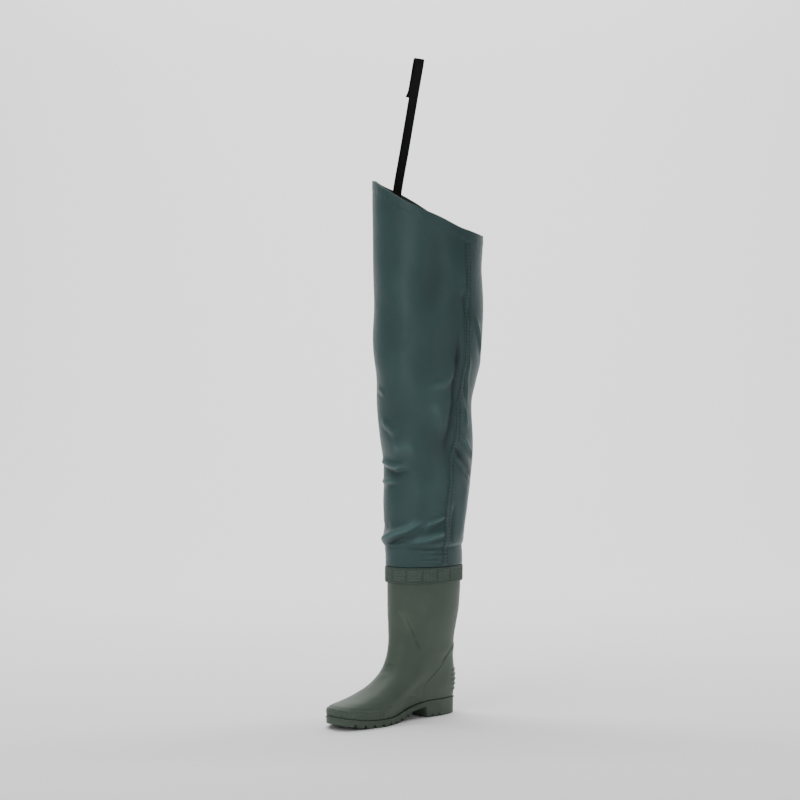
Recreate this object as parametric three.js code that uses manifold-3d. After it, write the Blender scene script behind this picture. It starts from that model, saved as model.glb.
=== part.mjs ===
// A hip wader for the right foot: a moulded boot, a tall leg of coated cloth welded round its top, and a
// webbing strap that goes up to the wearer's belt.
// Millimetres, +Z up. The toe points to -Y and the inner side of the leg faces +X. The origin is on the
// floor, under the middle of the heel.
import * as THREE from "three";
import { mergeVertices } from "three/addons/utils/BufferGeometryUtils.js";
import Module from "manifold-3d";

// Sole
const SOLE_LENGTH = 272;
const BALL_WIDTH = 104; // outsole across the ball
const HEEL_WIDTH = 70; // outsole across the heel
const WAIST_WIDTH = 64; // outsole across the waist
const HEEL_HEIGHT = 28; // floor to heel seat
const HEEL_LENGTH = 76; // back of the heel to its breast
const FOREFOOT_THICKNESS = 12; // tread included
const WAIST_THICKNESS = 9;
const TOE_SPRING = 9.5;
const LUG_DEPTH = 4;
const LUG_PITCH = 18; // from one forefoot groove to the next
const GROOVE_WIDTH = 5;
const SOLE_LEDGE = 3.2; // the sole stands out from the upper by this
const LIP_HEIGHT = 2.6; // raised edge round the top of the sole's side
const LIP_OUT = 1.1;
const LIP_CHAMFER = 0.4;
const SOLE_DRAFT = 1.6; // the sole is this much narrower a side at the floor
const INSOLE_THICKNESS = 3;
const INSOLE_MARGIN = 1; // from the insole's edge to the upper's wall

// Boot
const BOOT_HEIGHT = 252; // floor to the top of the shaft
const BOOT_WALL = 2.6;
const ANKLE_WIDTH = 78;
const SHAFT_WIDTH = 105;
const SHAFT_DEPTH = 139; // front to back at the top
const TOE_GUARD_HEIGHT = 15;
const TOE_GUARD_LENGTH = 88;
const COUNTER_HEIGHT = 92;
const COUNTER_LENGTH = 88;
const OVERLAY_THICKNESS = 0.9; // toe guard and heel counter
const RIB_COUNT = 5; // kick ribs across the back of the heel counter
const RIB_PITCH = 8;
const RIB_HEIGHT = 4;
const RIB_OUT = 1.3;
const BAND_HEIGHT = 26; // textured band that covers the weld of leg and boot
const BAND_THICKNESS = 1.6;
const BAND_RIDGE_HEIGHT = 3; // raised edge at the top and bottom of the band
const BAND_RIDGE_OUT = 0.7;
const BAND_RIDGE_SLOPE = 0.4;

// Leg
const WADER_HEIGHT = 903; // floor to the highest point of the rim
const RIM_DROP = 96; // from there to the lowest point of the rim
const THIGH_WIDTH = 177;
const THIGH_DEPTH = 195;
const LEG_WALL = 1;
const HEM_HEIGHT = 18;
const HEM_EXTRA = 0.5; // the folded hem is this much thicker on each face
const CUFF_HEIGHT = 32; // plain cloth between the band and the fold above it
const CUFF_STEP = 3; // over this height the cloth comes out to the band's face
const SEAM_WIDTH = 12;
const SEAM_THICKNESS = 0.8;

// Strap
const STRAP_WIDTH = 20;
const STRAP_THICKNESS = 1.5;
const STRAP_TOP = 1111; // floor to the top of the belt loop
const STRAP_LEAN = 0.27; // sideways run for each unit of rise, towards the wearer
const BELT_LOOP_LENGTH = 60;
const BELT_LOOP_GAP = 3.2;
const SLIDER_DROP = 40; // from the rim to the middle of the slider
const SLIDER_BAR = 3; // height of each of its three bars
const SLIDER_SLOT = 7; // height of each of its two slots
const SLIDER_THICKNESS = 2.4;
const SLIDER_MARGIN = 1; // free width beside the strap in a slot
const TAB_LENGTH = 50; // from the slider's lowest bar to the sewn end
const TAIL_LENGTH = 15; // of the strap, below the slider's lowest bar

const CLEARANCE = 0.3; // between pieces that touch
const LOOP_CLEARANCE = 0.4; // between webbing and slider

const COLUMN_COUNT = 40; // faces round boot, leg and band, which so lie parallel
const BOOT_ROWS = 20;
const LEG_STEPS = 12;

const HEEL_CENTRE = HEEL_LENGTH / 2;
const LAST_LENGTH = SOLE_LENGTH - 2 * SOLE_LEDGE;
const SHAFT_RISE = BOOT_HEIGHT - HEEL_HEIGHT;
const LEG_RISE = WADER_HEIGHT - BOOT_HEIGHT;
const BAND_BOTTOM = BOOT_HEIGHT - BAND_HEIGHT;
const CUFF_TOP = BOOT_HEIGHT + CUFF_HEIGHT;
const radians = THREE.MathUtils.degToRad;
const { lerp, smoothstep } = THREE.MathUtils;

// Smooth curve through the points (xs, ys) that never overshoots them: a monotone cubic.
function smoothCurve(xs, ys) {
  const slope = xs.slice(1).map((x, i) => (ys[i + 1] - ys[i]) / (x - xs[i]));
  const tangent = xs.map((_, i) => {
    if (i === 0) return slope[0];
    if (i === xs.length - 1) return slope[i - 1];
    const [before, after] = [slope[i - 1], slope[i]];
    return before * after <= 0 ? 0 : (2 * before * after) / (before + after);
  });
  return (x) => {
    const at = THREE.MathUtils.clamp(x, xs[0], xs[xs.length - 1]);
    let i = 0;
    while (i < xs.length - 2 && at > xs[i + 1]) i += 1;
    const width = xs[i + 1] - xs[i];
    const u = (at - xs[i]) / width;
    const fromStart = (1 + 2 * u) * (1 - u) ** 2 * ys[i] + u * (1 - u) ** 2 * width * tangent[i];
    const fromEnd = u * u * (3 - 2 * u) * ys[i + 1] + u * u * (u - 1) * width * tangent[i + 1];
    return fromStart + fromEnd;
  };
}

const curveOf = (rows, along, name) => smoothCurve(rows.map((r) => r[along]), rows.map((r) => r[name]));

// Distances "t" run from the back of the sole towards the toe.
const BALL_END = 0.72 * SOLE_LENGTH; // the tread leaves the floor here
const TREAD_START = 0.41 * SOLE_LENGTH;
const TREAD_DOWN = 0.57 * SOLE_LENGTH; // and meets it here
const SEAT_END = 0.24 * SOLE_LENGTH; // the sole's upper face starts to fall here
const SEAT_DOWN = 0.62 * SOLE_LENGTH; // and is down at the ball here
const TOE_RISE_POWER = 1.8;

function toeRise(t) {
  const beyond = Math.max(0, (t - BALL_END) / (SOLE_LENGTH - BALL_END));
  return TOE_SPRING * beyond ** TOE_RISE_POWER;
}

// Height of the sole's upper face, which is also the line where the upper meets the sole.
function seat(t) {
  return toeRise(t) + lerp(HEEL_HEIGHT, FOREFOOT_THICKNESS, smoothstep(t, SEAT_END, SEAT_DOWN));
}

// The boot's surface is a stack of closed loops. A loop runs from a back point to a front point and is
// widened by its half widths at the heel, the waist and the ball.
//   front, back: where it ends, as shares of the last's length from the last's back
//   frontUp, backUp: heights over the heel seat, as shares of the shaft's rise
//   heel, waist, ball: half widths, as shares of the last's half widths there
const FOOT_LEVELS = [
  { front: 1.0, frontUp: 0.0, back: 0.0, backUp: 0.0, heel: 0.98, waist: 0.98, ball: 1.0 },
  { front: 1.005, frontUp: 0.038, back: -0.008, backUp: 0.046, heel: 1.05, waist: 1.07, ball: 1.02 },
  { front: 0.987, frontUp: 0.071, back: -0.014, backUp: 0.096, heel: 1.1, waist: 1.16, ball: 0.985 },
  { front: 0.918, frontUp: 0.098, back: -0.018, backUp: 0.137, heel: 1.11, waist: 1.22, ball: 0.93 },
  { front: 0.812, frontUp: 0.127, back: -0.018, backUp: 0.178, heel: 1.11, waist: 1.26, ball: 0.87 },
  { front: 0.7, frontUp: 0.162, back: -0.014, backUp: 0.219, heel: 1.11, waist: 1.29, ball: 0.82 },
  { front: 0.607, frontUp: 0.207, back: -0.009, backUp: 0.265, heel: 1.1, waist: 1.3, ball: 0.79 },
  { front: 0.535, frontUp: 0.268, back: -0.005, backUp: 0.32, heel: 1.1, waist: 1.3, ball: 0.78 },
];
// The same for the shaft, where a loop is level and has one half width.
//   up: height over the heel seat, as a share of the shaft's rise
//   middle: its middle, as a share of the last's length
//   depth: front to back, as a share of the shaft's depth
//   ankle, top: half width, as shares of the ankle's and the shaft's half widths, added together
const SHAFT_LEVELS = [
  { up: 0.378, middle: 0.24, depth: 0.937, ankle: 1.0, top: 0.0 },
  { up: 0.455, middle: 0.231, depth: 0.925, ankle: 0.85, top: 0.14 },
  { up: 0.55, middle: 0.222, depth: 0.95, ankle: 0.45, top: 0.51 },
  { up: 0.7, middle: 0.211, depth: 0.985, ankle: 0.1, top: 0.88 },
  { up: 0.85, middle: 0.206, depth: 0.998, ankle: 0, top: 0.99 },
  { up: 1.0, middle: 0.205, depth: 1.0, ankle: 0, top: 1.0 },
];
// How the loops change with the share v of the way from the lowest to the highest.
//   follow: how far a loop follows the curved seat line, 1 wholly and 0 not at all
//   swing: how far its middle line follows the curve of the foot
//   toePower, heelPower: roundness of the two ends, where 2 is an ellipse and more is blunter
const LOOP_SHAPES = [
  { v: 0, follow: 1, swing: 1, toePower: 2.45, heelPower: 3.4 },
  { v: 0.23, follow: 0.9, swing: 1, toePower: 2.45, heelPower: 3 },
  { v: 0.46, follow: 0.5, swing: 0.6, toePower: 2.25, heelPower: 2.5 },
  { v: 0.69, follow: 0, swing: 0, toePower: 2.1, heelPower: 2.2 },
  { v: 0.87, follow: 0, swing: 0, toePower: 2, heelPower: 2 },
];

const LAST_HALF = {
  heel: HEEL_WIDTH / 2 - SOLE_LEDGE,
  waist: WAIST_WIDTH / 2 - SOLE_LEDGE,
  ball: BALL_WIDTH / 2 - SOLE_LEDGE,
};

function footLevel(row) {
  return {
    ...row,
    front: SOLE_LEDGE + row.front * LAST_LENGTH,
    back: SOLE_LEDGE + row.back * LAST_LENGTH,
    heel: row.heel * LAST_HALF.heel,
    waist: row.waist * LAST_HALF.waist,
    ball: row.ball * LAST_HALF.ball,
  };
}

function shaftLevel(row) {
  const half = (row.ankle * ANKLE_WIDTH + row.top * SHAFT_WIDTH) / 2;
  const middle = SOLE_LEDGE + row.middle * LAST_LENGTH;
  const reach = (row.depth * SHAFT_DEPTH) / 2;
  const ends = { front: middle + reach, back: middle - reach, frontUp: row.up, backUp: row.up };
  return { ...ends, heel: half, waist: half, ball: half };
}

const levels = [...FOOT_LEVELS.map(footLevel), ...SHAFT_LEVELS.map(shaftLevel)];
const levelAt = levels.map((_, i) => i / (levels.length - 1));
const loopCurves = {};
for (const name of ["front", "back", "frontUp", "backUp", "heel", "waist", "ball"]) {
  loopCurves[name] = smoothCurve(levelAt, levels.map((level) => level[name]));
}
for (const name of ["follow", "swing", "toePower", "heelPower"]) {
  loopCurves[name] = curveOf(LOOP_SHAPES, "v", name);
}

function loopAt(v) {
  return Object.fromEntries(Object.entries(loopCurves).map(([name, curve]) => [name, curve(v)]));
}

// Shares of a loop's length at which its half widths hold, and how far the middle line of the foot lies
// towards the inner side there, as shares of the ball's width.
const WIDTH_STATIONS = [
  { along: 0, width: "heel" },
  { along: 0.15, width: "heel" },
  { along: 0.42, width: "waist" },
  { along: 0.72, width: "ball" },
  { along: 1, width: "ball" },
];
const FOOT_SWING = [
  { along: 0.15, inwards: 0 },
  { along: 0.42, inwards: -0.026 },
  { along: 0.7, inwards: -0.01 },
  { along: 0.88, inwards: 0.04 },
  { along: 1, inwards: 0.095 },
];
const footSwing = curveOf(FOOT_SWING, "along", "inwards");
const stationShares = WIDTH_STATIONS.map((station) => station.along);

// A point of a loop, grown outwards by "grow". The angle is 0 at the toe and 90 degrees at the inner side.
function loopPoint(loop, angle, grow = 0) {
  const along = (1 + Math.cos(angle)) / 2;
  const power = along > 0.5 ? loop.toePower : loop.heelPower;
  const rounded = (1 - Math.abs(Math.cos(angle)) ** power) ** (1 / power);
  const half = smoothCurve(stationShares, WIDTH_STATIONS.map(({ width }) => loop[width]))(along) + grow;
  const t = lerp(loop.back - grow, loop.front + grow, along);
  const x = footSwing(along) * loop.swing * BALL_WIDTH + Math.sign(Math.sin(angle)) * half * rounded;
  const level = loop.follow * seat(t) + (1 - loop.follow) * HEEL_HEIGHT;
  return new THREE.Vector3(x, HEEL_CENTRE - t, level + lerp(loop.backUp, loop.frontUp, along) * SHAFT_RISE);
}

const DELTA = 1e-3; // step for finding a surface's direction

// A point of the boot's outer surface, moved "out" along the surface's normal. v is 0 at the sole and 1 at
// the top of the shaft, where the move is level, so that both edges of a wall stay at one height.
function bootPoint(v, angle, out = 0) {
  const point = loopPoint(loopAt(v), angle);
  if (out === 0) return point;
  const round = loopPoint(loopAt(v), angle + DELTA).sub(loopPoint(loopAt(v), angle - DELTA));
  const above = loopPoint(loopAt(Math.min(1, v + DELTA)), angle);
  const below = loopPoint(loopAt(Math.max(0, v - DELTA)), angle);
  const normal = round.cross(above.sub(below));
  if (v === 0 || v === 1) normal.z = 0;
  return point.addScaledVector(normal.normalize(), out);
}

const columns = Array.from({ length: COLUMN_COUNT }, (_, i) => (i * 2 * Math.PI) / COLUMN_COUNT);

// Geometry from points and triangles.
function geometryOf(points, triangles) {
  const geometry = new THREE.BufferGeometry().setFromPoints(points);
  geometry.setIndex(triangles);
  geometry.computeVertexNormals();
  return geometry;
}

// Faces between two rows of points that start at the given numbers. They face right when the second row
// lies above the first and the points run anticlockwise seen from above.
function between(first, second, count, closed, flip) {
  const faces = [];
  for (let i = 0; i < (closed ? count : count - 1); i += 1) {
    const j = (i + 1) % count;
    const [a, b, c, d] = [first + i, first + j, second + j, second + i];
    faces.push(...(flip ? [a, c, b, a, d, c] : [a, b, c, a, c, d]));
  }
  return faces;
}

// A hollow wall between an outer and an inner stack of closed rows.
function wallGeometry(outer, inner) {
  const count = outer[0].length;
  const rows = [...outer, ...[...inner].reverse()];
  const next = (i) => ((i + 1) % rows.length) * count;
  return geometryOf(rows.flat(), rows.flatMap((_, i) => between(i * count, next(i), count, true, false)));
}

// A solid stack of closed rows, its ends closed straight across from each point to its mirror image.
function stackGeometry(rows) {
  const count = rows[0].length;
  const faces = rows.slice(1).flatMap((_, i) => between(i * count, (i + 1) * count, count, true, false));
  const last = (rows.length - 1) * count;
  const across = (i) => (count - i) % count;
  for (let i = 0; i < count / 2; i += 1) {
    const [a, b, c, d] = [i, i + 1, across(i + 1), across(i)];
    for (const [p, q, r] of [[a, c, b], [a, d, c]]) {
      if (p === q || q === r || p === r) continue;
      faces.push(p, q, r);
      faces.push(last + p, last + r, last + q);
    }
  }
  return geometryOf(rows.flat(), faces);
}

// A thin slab between an inner and an outer sheet of open rows.
function slabGeometry(inner, outer) {
  const [height, count] = [inner.length, inner[0].length];
  const size = height * count;
  const faces = [];
  for (let r = 0; r < height - 1; r += 1) {
    faces.push(...between(r * count, (r + 1) * count, count, false, true));
    faces.push(...between(size + r * count, size + (r + 1) * count, count, false, false));
    const [left, right] = [r * count, r * count + count - 1];
    faces.push(left, left + size, left + count + size, left, left + count + size, left + count);
    faces.push(right, right + count + size, right + size, right, right + count, right + count + size);
  }
  const top = size - count;
  for (let i = 0; i < count - 1; i += 1) {
    faces.push(i, i + 1, i + 1 + size, i, i + 1 + size, i + size);
    faces.push(top + i, top + i + 1 + size, top + i + 1, top + i, top + i + size, top + i + 1 + size);
  }
  return geometryOf([...inner.flat(), ...outer.flat()], faces);
}

const wasm = await Module();
wasm.setup();

function solidOf(geometry) {
  const bare = geometry.clone();
  bare.deleteAttribute("normal");
  bare.deleteAttribute("uv");
  const merged = mergeVertices(bare, 1e-4);
  const vertProperties = new Float32Array(merged.attributes.position.array);
  const triVerts = new Uint32Array(merged.index.array);
  return new wasm.Manifold(new wasm.Mesh({ numProp: 3, vertProperties, triVerts }));
}

function geometryFrom(solid) {
  const mesh = solid.getMesh();
  const geometry = new THREE.BufferGeometry();
  geometry.setAttribute("position", new THREE.BufferAttribute(mesh.vertProperties, mesh.numProp));
  geometry.setIndex(new THREE.BufferAttribute(mesh.triVerts, 1));
  geometry.computeVertexNormals();
  return geometry;
}

// A solid whose side view is the outline [t, z] and which reaches across the whole boot.
function acrossBoot(outline) {
  const shape = new THREE.Shape(outline.map(([t, z]) => new THREE.Vector2(t - HEEL_CENTRE, z)));
  const reach = 2 * Math.max(BALL_WIDTH, SHAFT_WIDTH);
  const geometry = new THREE.ExtrudeGeometry(shape, { depth: reach, bevelEnabled: false });
  geometry.translate(0, 0, -reach / 2);
  // The shape's x, y and depth become -Y, Z and -X.
  geometry.applyMatrix4(new THREE.Matrix4().set(0, 0, -1, 0, -1, 0, 0, 0, 0, 1, 0, 0, 0, 0, 0, 1));
  return solidOf(geometry);
}

const HEEL_GROOVES = [0.66, 0.87]; // shares of the heel's length at which its cross grooves lie
const BREAST_RUN = 0.06; // the heel's breast slopes by this share of the heel's length
const WAIST_STEPS = 5;

// Underside of the sole in side view: heel, breast, waist, tread and toe spring, with its cross grooves.
function undersideOutline() {
  const waistUnder = (t) => seat(t) - WAIST_THICKNESS;
  const treadStartHeight = waistUnder(TREAD_START) - LUG_DEPTH;
  const tread = (t) => {
    const ease = Math.max(0, 1 - (t - TREAD_START) / (TREAD_DOWN - TREAD_START));
    return treadStartHeight * ease ** 2 + toeRise(t);
  };
  const points = [[-SOLE_LEDGE, 0]];
  const groove = (t, low) => {
    const [start, end] = [t - GROOVE_WIDTH / 2, t + GROOVE_WIDTH / 2];
    points.push([start, low], [start, low + LUG_DEPTH], [end, low + LUG_DEPTH], [end, low]);
  };
  for (const share of HEEL_GROOVES) groove(share * HEEL_LENGTH, 0);
  points.push([HEEL_LENGTH, 0]);
  for (let i = 0; i <= WAIST_STEPS; i += 1) {
    const t = lerp((1 + BREAST_RUN) * HEEL_LENGTH, TREAD_START, i / WAIST_STEPS);
    points.push([t, waistUnder(t)]);
  }
  points.push([TREAD_START, tread(TREAD_START)]);
  for (let t = TREAD_START + LUG_PITCH / 2; t < SOLE_LENGTH - LUG_PITCH / 2; t += LUG_PITCH) {
    groove(t, tread(t));
    points.push([t + LUG_PITCH / 2, tread(t + LUG_PITCH / 2)]);
  }
  points.push([SOLE_LENGTH + SOLE_LEDGE, toeRise(SOLE_LENGTH)]);
  const below = -HEEL_HEIGHT;
  return [...points, [SOLE_LENGTH + SOLE_LEDGE, below], [-SOLE_LEDGE, below]];
}

// A closed row of the sole: the last's lowest loop, grown, at a height worked out from its place.
function soleRow(grow, heightAt) {
  const loop = loopAt(0);
  return columns.map((angle) => {
    const point = loopPoint(loop, angle, grow);
    return point.setZ(heightAt(HEEL_CENTRE - point.y));
  });
}

function outsoleGeometry() {
  const underLip = (t) => seat(t) - LIP_HEIGHT;
  const blank = stackGeometry([
    soleRow(SOLE_LEDGE - SOLE_DRAFT, () => -CLEARANCE),
    soleRow(SOLE_LEDGE - LIP_OUT, underLip),
    soleRow(SOLE_LEDGE, (t) => underLip(t) + LIP_CHAMFER),
    soleRow(SOLE_LEDGE, seat),
  ]);
  return geometryFrom(solidOf(blank).subtract(acrossBoot(undersideOutline())));
}

function insoleGeometry() {
  const inset = -(BOOT_WALL + INSOLE_MARGIN);
  return stackGeometry([
    soleRow(inset, (t) => seat(t) + CLEARANCE),
    soleRow(inset, (t) => seat(t) + CLEARANCE + INSOLE_THICKNESS),
  ]);
}

const seated = (row) => row.map((p) => p.clone().setZ(seat(HEEL_CENTRE - p.y) + CLEARANCE));

// Rows of the boot's surface, moved out, from the sole up to the given share of its height. The lowest
// one stands clear of the sole.
function bootRows(out, top = 1) {
  const shares = Array.from({ length: BOOT_ROWS + 1 }, (_, i) => i / BOOT_ROWS).filter((v) => v <= top);
  const rows = shares.map((v) => columns.map((angle) => bootPoint(v, angle, out)));
  return [seated(rows[0]), ...rows.slice(1)];
}

const upperGeometry = () => wallGeometry(bootRows(0), bootRows(-BOOT_WALL));

const OVERLAY_TOP = 0.8; // share of the boot's rows that overlays can reach

// An overlay is what lies between two larger forms of the boot, inside a side view. "proud" is a solid
// that is joined to the outer form.
function overlaySolid(outline, proud = null) {
  const covered = bootRows(CLEARANCE, OVERLAY_TOP);
  const below = covered[0].map((p) => p.clone().setZ(p.z - OVERLAY_THICKNESS));
  const inner = solidOf(stackGeometry([below, ...covered]));
  const outer = solidOf(stackGeometry(bootRows(CLEARANCE + OVERLAY_THICKNESS, OVERLAY_TOP)));
  return (proud ? outer.add(proud) : outer).subtract(inner).intersect(acrossBoot(outline));
}

const GUARD_STEPS = 6;

function toeGuardGeometry() {
  const [start, end] = [SOLE_LENGTH - TOE_GUARD_LENGTH, SOLE_LENGTH + SOLE_LEDGE];
  const topEdge = Array.from({ length: GUARD_STEPS + 1 }, (_, i) => {
    const t = lerp(end, start + TOE_GUARD_HEIGHT, i / GUARD_STEPS);
    return [t, seat(t) + TOE_GUARD_HEIGHT];
  });
  return geometryFrom(overlaySolid([[start, 0], [end, 0], ...topEdge]));
}

// The counter's front edge in side view, as shares of its length and height.
const COUNTER_EDGE = [
  { forward: 1.0, up: 0.22 },
  { forward: 0.97, up: 0.31 },
  { forward: 0.88, up: 0.39 },
  { forward: 0.65, up: 0.56 },
  { forward: 0.32, up: 0.86 },
  { forward: 0.17, up: 0.97 },
  { forward: 0.05, up: 1.0 },
];
const RIBS_START = 0.12; // height of the lowest rib over the seat, as a share of the counter's height
const RIB_REACH = 0.2; // how far the ribs come forward, as a share of the counter's length

function heelCounterGeometry() {
  const [behind, seatHeight] = [-2 * SOLE_LEDGE, HEEL_HEIGHT];
  const edgePoint = ({ forward, up }) => [forward * COUNTER_LENGTH, seatHeight + up * COUNTER_HEIGHT];
  const top = [behind, seatHeight + COUNTER_HEIGHT];
  const outline = [[behind, 0], [COUNTER_LENGTH, 0], ...COUNTER_EDGE.map(edgePoint), top];
  const slabs = Array.from({ length: RIB_COUNT }, (_, i) => {
    const low = seatHeight + RIBS_START * COUNTER_HEIGHT + i * RIB_PITCH;
    const [reach, high] = [RIB_REACH * COUNTER_LENGTH, low + RIB_HEIGHT];
    return acrossBoot([[behind, low], [reach, low], [reach, high], [behind, high]]);
  });
  const larger = solidOf(stackGeometry(bootRows(CLEARANCE + OVERLAY_THICKNESS + RIB_OUT, OVERLAY_TOP)));
  return geometryFrom(overlaySolid(outline, larger.intersect(slabs.reduce((all, slab) => all.add(slab)))));
}

// The shaft's section at a height that the band covers: half width, half depth and middle.
function shaftSection(z) {
  const wanted = (z - HEEL_HEIGHT) / SHAFT_RISE;
  let [low, high] = [levelAt[FOOT_LEVELS.length], 1];
  while (high - low > DELTA ** 2) {
    const middle = (low + high) / 2;
    [low, high] = loopCurves.frontUp(middle) < wanted ? [middle, high] : [low, middle];
  }
  const { front, back, waist } = loopAt(high);
  return { half: waist, reach: (front - back) / 2, middle: (front + back) / 2 };
}

// The leg's outer surface above its cuff: sections at shares of the way from there to the rim's top.
//   width, depth: as shares of the thigh's
//   forward: its middle, as a share of the thigh's depth in front of the middle of the heel
const LEG_SECTIONS = [
  { up: 0.0, width: 0.63, depth: 0.745, forward: 0.108 },
  { up: 0.012, width: 0.66, depth: 0.762, forward: 0.107 },
  { up: 0.066, width: 0.7, depth: 0.772, forward: 0.097 },
  { up: 0.12, width: 0.751, depth: 0.79, forward: 0.084 },
  { up: 0.175, width: 0.775, depth: 0.806, forward: 0.062 },
  { up: 0.231, width: 0.79, depth: 0.812, forward: 0.056 },
  { up: 0.286, width: 0.812, depth: 0.84, forward: 0.07 },
  { up: 0.341, width: 0.838, depth: 0.856, forward: 0.086 },
  { up: 0.397, width: 0.862, depth: 0.872, forward: 0.098 },
  { up: 0.45, width: 0.898, depth: 0.92, forward: 0.078 },
  { up: 0.506, width: 0.949, depth: 0.978, forward: 0.056 },
  { up: 0.595, width: 0.978, depth: 0.99, forward: 0.052 },
  { up: 0.725, width: 0.989, depth: 1.0, forward: 0.052 },
  { up: 0.841, width: 0.995, depth: 1.0, forward: 0.054 },
  { up: 1.0, width: 1.006, depth: 1.005, forward: 0.055 },
];

function legSectionRows() {
  const outside = CLEARANCE + LEG_WALL;
  const onBoot = [BAND_BOTTOM, BOOT_HEIGHT].map((z) => {
    const { half, reach, middle } = shaftSection(z);
    return { z, half: half + outside, reach: reach + outside, forward: middle - HEEL_CENTRE };
  });
  const { half, reach, forward } = onBoot[1];
  const cuff = [BOOT_HEIGHT + CUFF_STEP, (BOOT_HEIGHT + CUFF_TOP) / 2].map((z) => {
    return { z, half: half + BAND_THICKNESS, reach: reach + BAND_THICKNESS, forward };
  });
  const above = LEG_SECTIONS.map((row) => ({
    z: lerp(CUFF_TOP, WADER_HEIGHT, row.up),
    half: (row.width * THIGH_WIDTH) / 2,
    reach: (row.depth * THIGH_DEPTH) / 2,
    forward: row.forward * THIGH_DEPTH,
  }));
  return [...onBoot, ...cuff, ...above];
}

const legRows = legSectionRows();
const legHalf = curveOf(legRows, "z", "half");
const legReach = curveOf(legRows, "z", "reach");
const legForward = curveOf(legRows, "z", "forward");

function legPoint(z, angle, out = 0) {
  const x = (legHalf(z) + out) * Math.sin(angle);
  const y = -legForward(z) - (legReach(z) + out) * Math.cos(angle);
  return new THREE.Vector3(x, y, z);
}

// The rim's height round the leg, in degrees from straight ahead towards the inner side, as shares of the
// drop from its highest point. It is high at the outer front and low at the inner back.
const RIM = [
  { angle: -60, share: 1.0 },
  { angle: -30, share: 0.945 },
  { angle: 0, share: 0.755 },
  { angle: 30, share: 0.49 },
  { angle: 60, share: 0.27 },
  { angle: 90, share: 0.07 },
  { angle: 125, share: 0.0 },
  { angle: 175, share: 0.09 },
  { angle: 215, share: 0.4 },
  { angle: 245, share: 0.71 },
  { angle: 265, share: 0.86 },
  { angle: 300, share: 1.0 },
];
const rimShare = curveOf(RIM, "angle", "share");
const RIM_LAST = RIM[RIM.length - 1].angle;

function rimHeight(angle) {
  const degrees = THREE.MathUtils.radToDeg(angle);
  return WADER_HEIGHT - RIM_DROP * (1 - rimShare(degrees > RIM_LAST ? degrees - 360 : degrees));
}

// Shares of the way from the top of the cuff to the hem at which the leg has rows.
const legSteps = Array.from({ length: LEG_STEPS + 1 }, (_, i) => i / LEG_STEPS);

function legHeight(share, angle) {
  return lerp(CUFF_TOP, rimHeight(angle) - HEM_HEIGHT, share);
}

function legWall(out, hemOut) {
  const onBoot = [BAND_BOTTOM + CLEARANCE, BOOT_HEIGHT];
  const onCuff = [BOOT_HEIGHT + CUFF_STEP, (BOOT_HEIGHT + CUFF_TOP) / 2];
  const cuff = [...onBoot, ...onCuff].map((z) => columns.map((angle) => legPoint(z, angle, out)));
  const body = legSteps.map((share) => columns.map((angle) => legPoint(legHeight(share, angle), angle, out)));
  const hem = [HEM_HEIGHT - HEM_EXTRA, 0].map((drop) =>
    columns.map((angle) => legPoint(rimHeight(angle) - drop, angle, hemOut)),
  );
  return [...cuff, ...body, ...hem];
}

const legGeometry = () => wallGeometry(legWall(0, HEM_EXTRA), legWall(-LEG_WALL, -LEG_WALL - HEM_EXTRA));

// Where the side seams run, in degrees from straight ahead towards the inner side, at shares of the way
// from the cuff to the hem. The inner one is pulled forward below the knee.
const INSEAM = [
  { up: 0, angle: 80 },
  { up: 0.25, angle: 84 },
  { up: 0.34, angle: 89.5 },
  { up: 0.42, angle: 92.5 },
  { up: 0.7, angle: 94 },
  { up: 1, angle: 95 },
];
const OUTSEAM = [
  { up: 0, angle: 268 },
  { up: 0.7, angle: 267 },
  { up: 1, angle: 267 },
];

// A seam tape lies on the leg from the top of the cuff's step to just under the hem.
function seamGeometry(path) {
  const seamAngle = curveOf(path, "up", "angle");
  const low = { angle: radians(seamAngle(0)), heightAt: () => BOOT_HEIGHT + CUFF_STEP };
  const middle = { angle: radians(seamAngle(0)), heightAt: () => (BOOT_HEIGHT + CUFF_TOP) / 2 };
  const body = legSteps.slice(0, -1).map((share) => {
    return { angle: radians(seamAngle(share)), heightAt: (angle) => legHeight(share, angle) };
  });
  const high = { angle: radians(seamAngle(1)), heightAt: (angle) => legHeight(1, angle) - HEM_EXTRA };
  const stack = (out) =>
    [low, middle, ...body, high].map(({ angle, heightAt }) => {
      const spread = SEAM_WIDTH / 2 / legReach(heightAt(angle));
      return [-1, 0, 1].map((side) => {
        const at = angle + side * spread;
        return legPoint(heightAt(at), at, out);
      });
    });
  return slabGeometry(stack(CLEARANCE), stack(CLEARANCE + SEAM_THICKNESS));
}

function bandGeometry() {
  const body = CLEARANCE + BAND_THICKNESS;
  const ridge = body + BAND_RIDGE_OUT;
  const profile = [
    { up: 0, out: ridge },
    { up: BAND_RIDGE_HEIGHT, out: ridge },
    { up: BAND_RIDGE_HEIGHT + BAND_RIDGE_SLOPE, out: body },
    { up: BAND_HEIGHT - BAND_RIDGE_HEIGHT - BAND_RIDGE_SLOPE, out: body },
    { up: BAND_HEIGHT - BAND_RIDGE_HEIGHT, out: ridge },
    { up: BAND_HEIGHT, out: ridge },
  ];
  const row = (up, out) => columns.map((angle) => legPoint(BAND_BOTTOM + up, angle, out));
  const outer = profile.map(({ up, out }) => row(up, out));
  return wallGeometry(outer, profile.map(({ up }) => row(up, CLEARANCE)));
}

// The strap's pieces are drawn in a frame at the outer seam: u runs from the leg's inner face towards the
// middle of the leg, w is the height, and the webbing's width runs along the leg's surface.
const STRAP_ANGLE = radians(OUTSEAM[OUTSEAM.length - 1].angle);
const strapRim = rimHeight(STRAP_ANGLE);
const sliderMiddle = strapRim - SLIDER_DROP;
const barPitch = SLIDER_BAR + SLIDER_SLOT;
const [lowBar, highBar] = [sliderMiddle - barPitch, sliderMiddle + barPitch];
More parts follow.
